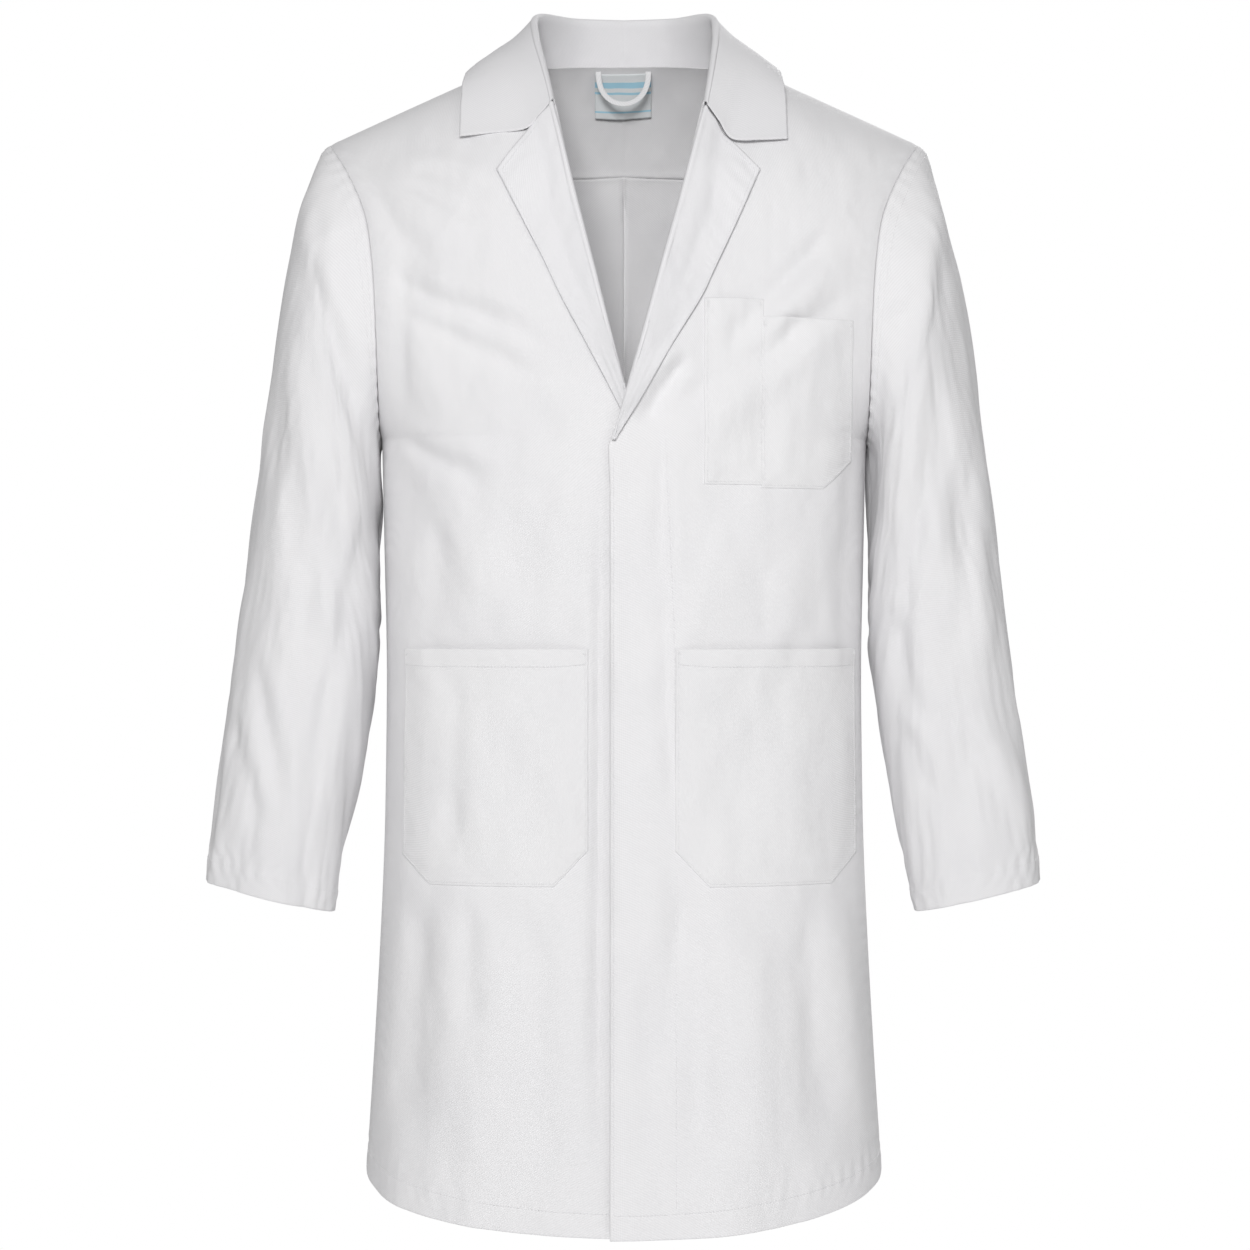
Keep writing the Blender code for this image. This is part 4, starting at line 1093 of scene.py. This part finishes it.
def lapel_point(u, v, side, off=0.0):
    """The lapel's outer cloth, from the top of its roll outwards."""
    x, z = lapel_xz(u, v, side)
    r = lapel_radius(v)
    lift = 0.0012 + 2 * r * (1 - smooth(u / 0.9)) + 0.0026 * smooth(u / 0.9)
    h = 0.0009 * noise(u * 2.2 + v * 3, v * 7.0, 101 + side) + 0.0003 * noise(u * 7, v * 22, 103)
    h = h * smooth(u / 0.15)
    h = h - 0.0016 * np.exp(-(((u - 0.42 - 0.2 * v) / 0.16) ** 2)) * smooth((v - 0.3) / 0.3)
    h = h + pucker(v * 0.30, (1 - u) * 0.05 - 0.005, 0.012, 0.00028, 0.007, 105)
    x = x + np.where(u < 0.25, 0.0, 0.0)
    return front_lift_folded(x, z, side, lift + h + off)


def front_lift_folded(x, z, side, off):
    """On the front's real cloth, so that what lies on it keeps its distance."""
    p = body_cloth(side * x, z, True, side, off, hem=False)
    return p


def lapel_sheet(side, word):
    nu, nv = 56, 190
    v = np.linspace(0.0, 1.0, nv)
    u = np.linspace(0, 1, nu)
    uu, vv = np.meshgrid(u, v)
    flat = lapel_point(uu, vv, side)
    r = lapel_radius(v)
    x0, z0 = lapel_xz(np.zeros(nv), v, side)
    cols, dist = [], []
    for k in range(4):                      # under the front, against its inner face
        cols.append(front_lift_folded(x0 + 0.003 + r + 0.010 * (1 - k / 4), z0, side, np.full(nv, -0.0016)))
        dist.append(-0.022 + 0.003 * k)
    for k in range(10):                     # round the roll
        q = math.pi * (k + 0.5) / 10
        mid = 0.0012 + 2 * r
        lo, hi = -0.0016, mid
        off = (lo + hi) / 2 - (hi - lo) / 2 * math.cos(q)
        x = x0 + r * (1 - math.sin(q)) + (0.003 * (1 - k / 9.0))
        cols.append(front_lift_folded(x, z0, side, off))
        dist.append(-0.010 + 0.010 * (k + 0.5) / 10)
    # the flat part starts at the roll's top
    push = np.exp(-((uu / 0.10) ** 2)) * r[:, None]
    shifted = lapel_xz(uu, vv, side)
    lift = 0.0012 + 2 * r[:, None] * (1 - smooth(uu / 0.9)) + 0.0026 * smooth(uu / 0.9)
    base = front_lift_folded(shifted[0] + push, shifted[1], side, lift)
    plain = front_lift_folded(shifted[0], shifted[1], side, lift)
    flat = flat + (base - plain)
    p = np.concatenate([np.stack(cols, 1), flat], axis=1)
    uv = np.stack(np.broadcast_arrays(np.concatenate([dist, u * 0.06])[None, :], (v * 0.31)[:, None]), -1)
    obj = grid(f"lapel_cloth_{word}", p, uv, thick=0.0013, flip=side > 0)
    dress(obj, COLLAR)
    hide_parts(f"lapel_{word}")
    line_out = facing(along(lambda a, b: lapel_point(a, b, side, 0.0008), np.stack([np.full(60, 0.965), np.linspace(0.06, 0.985, 60)], -1), 0.004), (0, -1, 0))
    line_top = facing(along(lambda a, b: lapel_point(a, b, side, 0.0008), np.stack([np.linspace(0.48, 0.965, 20), np.full(20, 0.985)], -1), 0.004), (0, -1, 0))
    sewn[side] += [line_out, line_top]
    return obj


lapels = {side: lapel_sheet(side, word) for side, word in ((1, "left"), (-1, "right"))}


# ---------------------------------------------------------------- the pockets
HIP_POCKET = {1: (0.0445, 0.2000), -1: (0.0310, 0.1865)}
HIP_TOP, HIP_BAND, HIP_BOTTOM = -0.5070, -0.5225, -0.7065


def patch_z(u, v, z_top, z_bottom, cut_in, cut_out, slope=0.0):
    lift = np.where(u < cut_in[0], cut_in[1] * (1 - u / cut_in[0]), 0.0)
    lift = np.where(u > 1 - cut_out[0], cut_out[1] * (1 - (1 - u) / cut_out[0]), lift)
    return (z_bottom + lift) + (z_top + slope * (u - 0.5) - z_bottom - lift) * v


def patch(name, side, x0, x1, z_top, z_bottom, cut_in, cut_out, nodes, gape=0.0022, seed=1, slope=0.0, band=0.0155, nu=84, nv=110):
    """A patch pocket with turned edges, crimped along its stitching and standing a little open at the top."""
    u = np.linspace(0, 1, nu)
    for cut in (cut_in[0], 1 - cut_out[0]):          # a column stands on each corner
        if 0 < cut < 1:
            u[np.argmin(np.abs(u - cut))] = cut
    v = np.linspace(0, 1, nv)
    r, tall, wide = 0.0006, z_top - z_bottom, x1 - x0

    def stand(uu, vv):
        """How far the pocket's cloth stands off the front's."""
        mouth = np.sin(math.pi * np.clip(uu, 0, 1)) ** 0.8
        e = 0.0012
        full = 0.0018 * smooth(np.minimum(np.minimum(uu, 1 - uu) * wide, vv * tall) / 0.02)
        g = gape * mouth * smooth((vv - 0.72) / 0.28) ** 1.5
        wave = 0.0006 * noise(uu * 3.1 + seed, vv * 2.2, 200 + seed) + 0.0004 * noise(uu * 8, vv * 5, 210 + seed)
        inside = np.minimum(np.minimum(uu, 1 - uu) * wide, np.minimum(vv, 1.2 - vv) * tall)
        crimp = pucker(uu * wide + vv * tall, inside - 0.004, 0.0115, 0.00015, 0.007, 220 + seed)
        hem = 0.0004 * smooth(((vv - 1) * tall + band) / 0.0012) if band else 0.0
        return e + full + g + wave * smooth(inside / 0.01) + crimp + hem

    def at(uu, vv, off=0.0, dx=0.0, dz=0.0):
        x = x0 + wide * uu + dx
        z = patch_z(np.clip(uu, 0, 1), vv, z_top, z_bottom, cut_in, cut_out, slope) + dz
        return body_cloth(side * x, z, True, side, stand(np.clip(uu, 0, 1), np.clip(vv, 0, 1)) + off, hem=False)

    # turned edges: round and under by 6 mm on every side
    q = [(math.sin(math.pi * k / 4), -1 + math.cos(math.pi * k / 4)) for k in range(1, 5)]
    tuck = 0.007
    us = [(tuck / wide, -2 * r, 0.0)] + [(0.0, r * b, -r * a) for a, b in reversed(q)] + [(t, 0.0, 0.0) for t in u] \
        + [(1.0, r * b, r * a) for a, b in q] + [(1 - tuck / wide, -2 * r, 0.0)]
    vs = [(tuck / tall, -2 * r, 0.0)] + [(0.0, r * b, -r * a) for a, b in reversed(q)] + [(t, 0.0, 0.0) for t in v] \
        + [(1.0, r * b, r * a) for a, b in q] + [(1 - (band or tuck) / tall, -2 * r, 0.0)]
    U, OU, DX = (np.array([c[i] for c in us]) for i in range(3))
    V, OV, DZ = (np.array([c[i] for c in vs]) for i in range(3))
    uu, vv = np.meshgrid(U, V)
    p = at(uu, vv, np.minimum(OU[None, :], OV[:, None]), DX[None, :], DZ[:, None])
    uv = np.stack([uu * wide + DX[None, :] * 2, vv * tall + DZ[:, None] * 2], -1)
    obj = grid(name, p, uv, thick=0.0006, flip=side > 0)
    dress(obj, POCKET)
    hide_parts(*nodes)

    # stitch lines, in u and v: down the sides and across the foot, 1.8 mm in, and the band's
    m = 0.0018
    mu, mv = m / wide, m / tall
    face = lambda a, b: at(a, b, 0.0004)

    def run(points):
        pts = []
        for (a0, b0), (a1, b1) in zip(points, points[1:]):
            n = max(int(math.hypot((a1 - a0) * wide, (b1 - b0) * tall) / 0.002), 2)
            f = np.linspace(0, 1, n, endpoint=False)
            pts.append(np.stack([a0 + (a1 - a0) * f, b0 + (b1 - b0) * f], -1))
        pts.append(np.array([points[-1]]))
        pts = np.concatenate(pts)
        p3 = face(pts[:, 0], pts[:, 1])
        n3 = np.cross(face(pts[:, 0] + 0.004, pts[:, 1]) - face(pts[:, 0] - 0.004, pts[:, 1]),
                      face(pts[:, 0], pts[:, 1] + 0.004) - face(pts[:, 0], pts[:, 1] - 0.004))
        n3 /= np.maximum(np.linalg.norm(n3, axis=1, keepdims=True), 1e-12)
        return facing((p3, n3), (0, -1, 0))

    foot = [(mu, 1.0), (mu, mv)]
    if cut_in[1]:
        foot.append((cut_in[0], mv))
    if cut_out[1]:
        foot.append((1 - cut_out[0], mv))
    foot += [(1 - mu, mv), (1 - mu, 1.0)]
    sewn[side].append(run(foot))
    if band:
        for k in (band - 0.0012,):
            sewn[side].append(run([(mu, 1 - k / tall), (1 - mu, 1 - k / tall)]))
    # bar tacks at the corners of the mouth
    for a in (mu * 1.2, 1 - mu * 1.2):
        for k in range(3):
            sewn[side].append(run([(a - 0.6 * mu + k * 0.6 * mu, 1 - mv), (a - 0.6 * mu + k * 0.6 * mu, 1 - mv - 0.006 / tall)]))
    return obj


pockets = {1: [], -1: []}
for side, word in ((1, "left"), (-1, "right")):
    inner, outer = HIP_POCKET[side]
    pockets[side].append(patch(f"hip_pocket_{word}", side, inner, outer, HIP_TOP, HIP_BOTTOM, (0.18, 0.030), (0.15, 0.024),
                               (f"lower_pocket_{word}", f"lower_pocket_hem_{word}"), seed=3 + side))
pockets[1].append(patch("breast_pocket", 1, 0.1170, 0.1945, -0.2265, -0.3690, (0.0, 0.0), (0.34, 0.024), ("chest_pocket",),
                        gape=0.0016, seed=9, band=0.0, nu=64, nv=90, slope=-0.002))
pockets[1].append(patch("breast_pen_pocket", 1, 0.0690, 0.1180, -0.2105, -0.3665, (0.0, 0.0), (0.0, 0.0), ("pen_pocket",),
                        gape=0.0012, seed=12, band=0.0, nu=44, nv=96, slope=0.0))


# ---------------------------------------------------------------- the fly strip, studs, label and loop
def strip_sheet():
    nu, nv = 30, 300
    uu, vv = np.meshgrid(np.linspace(0, 1, nu), np.linspace(0, 1, nv))
    x, z = -0.0078 + 0.0480 * uu, -0.972 + (-0.348 + 0.972) * vv
    wave = 0.0003 * noise(uu * 4, vv * 30, 301)
    p = body_cloth(x, z, True, 1, -0.0030 + wave, hem=False)
    obj = grid("fly_strip", p, np.stack([uu * 0.048, vv * 0.624], -1), thick=0.0010, flip=True)
    dress(obj, COTTON)
    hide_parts("fly_placket")
    return obj


strip = strip_sheet()


def lathe(name, profile, centre, steps=36):
    """(radius, height) turned about the line to the front, at centre."""
    a = np.arange(steps) * 2 * math.pi / steps
    prof = np.asarray(profile, float)
    p = np.stack([np.stack([centre[0] + r * np.cos(a), np.full(steps, centre[1] - h), centre[2] + r * np.sin(a)], -1) for r, h in prof])
    verts = p.reshape(-1, 3)
    faces = []
    for k in range(len(prof) - 1):
        for i in range(steps):
            j = (i + 1) % steps
            faces.append((k * steps + i, k * steps + j, (k + 1) * steps + j, (k + 1) * steps + i))
    first, last = len(verts), len(verts) + 1
    verts = np.concatenate([verts, [[centre[0], centre[1] - prof[0, 1], centre[2]], [centre[0], centre[1] - prof[-1, 1], centre[2]]]])
    for i in range(steps):
        j = (i + 1) % steps
        faces.append((first, j, i))
        faces.append((last, (len(prof) - 1) * steps + i, (len(prof) - 1) * steps + j))
    mesh = bpy.data.meshes.new(name)
    mesh.from_pydata([tuple(v) for v in verts], [], faces)
    mesh.shade_smooth()
    mesh.set_sharp_from_angle(angle=math.radians(50))
    obj = link(name, mesh)
    return dress(obj, METAL)


studs = {1: [], -1: []}
for k, z in enumerate(STUD_Z, 1):
    under = body_cloth(np.array([STUD_X]), np.array([z]), True, 1, -0.0030, hem=False)[0]
    over = body_cloth(np.array([STUD_X]), np.array([z]), True, -1, CLOTH / 2, hem=False)[0]
    socket = [(0.0062, 0.0), (0.0066, -0.0003), (0.0066, -0.0010), (0.0060, -0.0016), (0.0048, -0.0019), (0.0042, -0.0017), (0.0039, -0.0012), (0.0036, -0.0007), (0.0012, -0.0006)]
    o = lathe(f"socket_{k}", socket, (STUD_X, under[1] + 0.0005, z))
    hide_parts(f"stud_socket_{k}")
    studs[1].append(o)
    post = [(0.0016, 0.0024), (0.0021, 0.0022), (0.0024, 0.0018), (0.0023, 0.0013), (0.0021, 0.0010), (0.0026, 0.0009), (0.0048, 0.0009), (0.0058, 0.0007), (0.0061, 0.0003), (0.0060, 0.0)]
    o = lathe(f"post_{k}", post, (STUD_X, over[1], z))
    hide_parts(f"stud_post_{k}")
    studs[-1].append(o)


def label_sheet():
    nu, nv = 40, 30
    uu, vv = np.meshgrid(np.linspace(0, 1, nu), np.linspace(0, 1, nv))
    x, z = -0.0270 + 0.0520 * uu, 0.0140 - 0.0360 * vv
    sag = 0.0010 * noise(uu * 2.5, vv * 2, 311) + 0.0012 * vv * np.sin(math.pi * uu)
    p = body_cloth(x, z, False, 0, -0.0030 - sag, hem=False)
    obj = grid("neck_label_cloth", p, np.stack([uu * 0.052, vv * 0.036], -1), thick=0.0004)
    dress(obj, LABEL)
    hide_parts("neck_label")
    line = [(-0.0258, 0.0128), (-0.0258, -0.0208), (0.0238, -0.0208), (0.0238, 0.0128)]
    return obj


label = label_sheet()


def loop_sheet():
    """A folded tape, sewn in at both ends, hanging in a U."""
    n, m = 70, 8
    a = np.linspace(0, math.pi, n)
    c = np.stack([-0.0225 * np.cos(a) - 0.0005, 0.0525 + 0.0020 * np.sin(a), 0.0130 - 0.0290 * np.sin(a) ** 0.8], -1)
    along_ = np.gradient(c, axis=0)
    along_ /= np.linalg.norm(along_, axis=1, keepdims=True)
    across = np.cross(along_, np.array([0, 1.0, 0]))
    twist = 0.35 * np.sin(a * 1.0)
    across = across * np.cos(twist)[:, None] + np.array([0, 1.0, 0]) * np.sin(twist)[:, None]
    s = np.linspace(-0.0024, 0.0024, m)
    bulge = 0.0004 * (1 - (s / 0.0024) ** 2)
    p = c[None] + across[None] * s[:, None, None] + np.array([0, -1.0, 0])[None, None] * bulge[:, None, None]
    uv = np.stack(np.broadcast_arrays(np.linspace(0, 0.07, n)[None, :], s[:, None]), -1)
    obj = grid("loop_tape_piece", p, uv, thick=0.0009)
    dress(obj, TAPE)
    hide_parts("hanger_loop")
    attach(obj, "loop")
    return obj


loop = loop_sheet()

# ---------------------------------------------------------------- stitches, baked transforms, and what rides on the torso
for side, word in ((1, "left"), (-1, "right")):
    on_front = lambda p, s=side: front_weight(p, s)
    thread = stitches(f"front_stitches_{word}", sewn[side])
    thread.data.materials.append(THREAD)
    cuffs = stitches(f"sleeve_stitches_{word}", sleeve_lines[side])
    cuffs.data.materials.append(THREAD)
    for obj in [fronts[side], lapels[side], *pockets[side], thread] + ([strip] if side > 0 else []):
        follow(obj, on_front)
    for obj in studs[side]:
        co = np.array([v.co for v in obj.data.vertices])
        middle = co.mean(axis=0, keepdims=True)
        follow(obj, lambda p, c=middle, s=side: np.full(len(p), float(front_weight(c, s)[0])))
    for obj in (sleeves[side], cuffs):
        follow(obj, lambda p, s=side: sleeve_weight(p, s))
    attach(backs[side], "torso")
back_thread = stitches("back_stitches", back_lines + collar_lines)
back_thread.data.materials.append(THREAD)
for obj in (yoke, label, back_thread):
    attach(obj, "torso")

for side, word in ((1, "left"), (-1, "right")):
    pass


# ---------------------------------------------------------------- stage, light and camera
def disc(name, radius, z, steps=96):
    mesh = bpy.data.meshes.new(name)
    ring = [(radius * math.cos(2 * math.pi * k / steps), radius * math.sin(2 * math.pi * k / steps), z) for k in range(steps)]
    mesh.from_pydata(ring, [], [tuple(range(steps))])
    return link(name, mesh)


floor = disc("floor", 1.55, -1.36)
m, t, bsdf = nodes_of("floor_paper")
n = t.nodes.new("ShaderNodeTexNoise")
n.inputs["Scale"].default_value = 3.0
mix = t.nodes.new("ShaderNodeMix")
mix.data_type = "RGBA"
mix.inputs["A"].default_value, mix.inputs["B"].default_value = (0.93, 0.93, 0.93, 1), (0.95, 0.95, 0.95, 1)
t.links.new(n.outputs["Fac"], mix.inputs["Factor"])
t.links.new(mix.outputs["Result"], bsdf.inputs["Base Color"])
bsdf.inputs["Roughness"].default_value = 0.9
bsdf.inputs["Specular IOR Level"].default_value = 0.0
floor.data.materials.append(m)

AMBIENT = 0.33
world = bpy.data.worlds.new("studio")
bpy.context.scene.world = world
world.use_nodes = True
wt = world.node_tree
wt.nodes["Background"].inputs["Color"].default_value = (1, 1, 1, 1)
seen = wt.nodes.new("ShaderNodeLightPath")         # the room is white to look at, and gives softer light than it shows
power = wt.nodes.new("ShaderNodeMapRange")
power.inputs["To Min"].default_value, power.inputs["To Max"].default_value = AMBIENT, 1.0
wt.links.new(seen.outputs["Is Camera Ray"], power.inputs["Value"])
wt.links.new(power.outputs["Result"], wt.nodes["Background"].inputs["Strength"])


def area(name, place, target, size, power):
    light = bpy.data.lights.new(name, "AREA")
    light.shape, light.size, light.size_y, light.energy = "RECTANGLE", size[0], size[1], power
    obj = bpy.data.objects.new(name, light)
    obj.location = place
    obj.rotation_euler = (Vector(target) - Vector(place)).to_track_quat("-Z", "Y").to_euler()
    bpy.context.scene.collection.objects.link(obj)


area("key", (-0.18, -3.0, 0.50), (0, 0, -0.36), (0.8, 0.8), 58)
area("fill", (1.5, -2.7, 0.3), (0, 0, -0.45), (1.0, 1.2), 5)
area("back", (0.9, 2.8, 1.2), (0, 0, -0.45), (1.4, 1.4), 62)

camera = bpy.data.objects.new("camera", bpy.data.cameras.new("camera"))
bpy.context.scene.collection.objects.link(camera)
camera.location = (0.0009, -2.8, -0.486)
camera.rotation_euler = (math.radians(90), 0, 0)
camera.data.sensor_width = 36
camera.data.lens = 91.1
camera.data.clip_start, camera.data.clip_end = 0.1, 200
bpy.context.scene.camera = camera
bpy.context.scene.view_settings.view_transform = "Standard"
